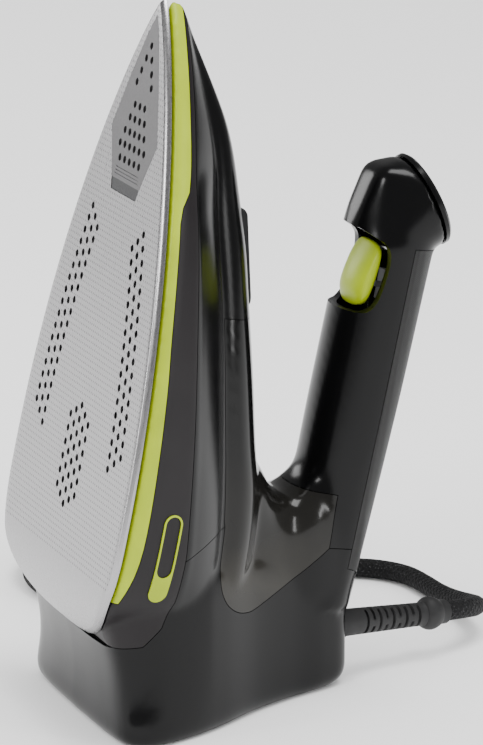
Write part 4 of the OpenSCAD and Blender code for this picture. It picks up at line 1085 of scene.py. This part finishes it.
class IRON_OT_kept(Build, bpy.types.Operator):
    """Gives every carried-over CAD piece its finish"""

    bl_idname = "iron.kept"
    bl_label = "Finishes of the carried-over pieces"

    def execute(self, context):
        made = finishes()
        for sub in frame["record"]["subparts"]:
            node = frame["nodes"][sub["node"]]
            node.data.materials.clear()
            node.data.materials.append(made[sub["material_slot"]])
        return {"FINISHED"}


class IRON_OT_stage(Build, bpy.types.Operator):
    """Lays the pale floor and hangs the soft lights"""

    bl_idname = "iron.stage"
    bl_label = "Studio"

    def execute(self, context):
        mesh = bpy.data.meshes.new("floor")
        mesh.from_pydata([(-9, -9, -0.0003), (9, -9, -0.0003), (9, 9, -0.0003), (-9, 9, -0.0003)], [], [(0, 1, 2, 3)])
        floor = new_piece("floor", mesh)
        material, nodes, links, shader, place = finish_nodes("studio_floor")
        tints = [(0.2, times(colour("floor"), 0.99)), (0.8, colour("floor"))]
        links.new(ramp(nodes, links, noise(nodes, links, place, 3, 2), tints),
                  shader.inputs["Base Color"])
        shader.inputs["Roughness"].default_value = 0.75
        floor.data.materials.append(material)
        # a white room, shown dimmer to reflections, so that black gloss stays black
        studio = bpy.data.worlds.new("studio")
        studio.use_nodes = True
        nodes, links = studio.node_tree.nodes, studio.node_tree.links
        path, level = nodes.new("ShaderNodeLightPath"), nodes.new("ShaderNodeMapRange")
        level.inputs["To Min"].default_value, level.inputs["To Max"].default_value = 1.6, 0.3
        links.new(path.outputs["Is Glossy Ray"], level.inputs["Value"])
        nodes["Background"].inputs["Color"].default_value = (1, 1, 1, 1)
        links.new(level.outputs["Result"], nodes["Background"].inputs["Strength"])
        context.scene.world = studio
        lights = [("sole", (-1.75, -0.88, 0.62), (0, 0, 0.16), (0.55, 0.7), 7),
                  ("key", (1.2, -1.7, 1.5), (0, 0, 0.14), (0.6, 0.8), 24),
                  ("strip", (1.9, 1.6, 0.9), (0, 0, 0.15), (0.2, 1.4), 14),
                  ("top", (0.25, 0.35, 2.0), (0, 0, 0.1), (0.8, 0.8), 24),
                  ("front", (0.25, -2.3, 0.7), (0, 0, 0.15), (0.25, 1.1), 10)]
        for name, spot, aim, (w, h), power in lights:
            lamp = bpy.data.lights.new(name, "AREA")
            lamp.shape, lamp.size, lamp.size_y, lamp.energy = "RECTANGLE", w, h, power
            light = bpy.data.objects.new(name, lamp)
            context.scene.collection.objects.link(light)
            light.location = spot
            light.rotation_euler = (Vector(aim) - Vector(spot)).to_track_quat("-Z", "Y").to_euler()
        return {"FINISHED"}


class IRON_PT_panel(bpy.types.Panel):
    """Lists the pieces of the iron"""

    bl_idname = "IRON_PT_panel"
    bl_label = "Steam Iron"
    bl_space_type = "VIEW_3D"
    bl_region_type = "UI"
    bl_category = "Steam Iron"

    def draw(self, context):
        for operator in OPERATORS:
            self.layout.operator(operator.bl_idname)


OPERATORS = (IRON_OT_camera, IRON_OT_cord, IRON_OT_guard, IRON_OT_kept, IRON_OT_skins, IRON_OT_sole, IRON_OT_trigger,
             IRON_OT_stage)
CLASSES = (IronSizes, IronColours) + OPERATORS + (IRON_PT_panel,)


def register():
    for c in CLASSES:
        bpy.utils.register_class(c)
    bpy.types.Scene.iron_sizes = PointerProperty(type=IronSizes)
    bpy.types.Scene.iron_colours = PointerProperty(type=IronColours)


def unregister():
    del bpy.types.Scene.iron_colours
    del bpy.types.Scene.iron_sizes
    for c in reversed(CLASSES):
        bpy.utils.unregister_class(c)


def main():
    """Builds everything in order."""
    register()
    for operator in OPERATORS:
        group, name = operator.bl_idname.split(".")
        if getattr(getattr(bpy.ops, group), name)() != {"FINISHED"}:
            raise RuntimeError(f"{operator.bl_idname} did not finish")


if __name__ == "__main__":
    main()
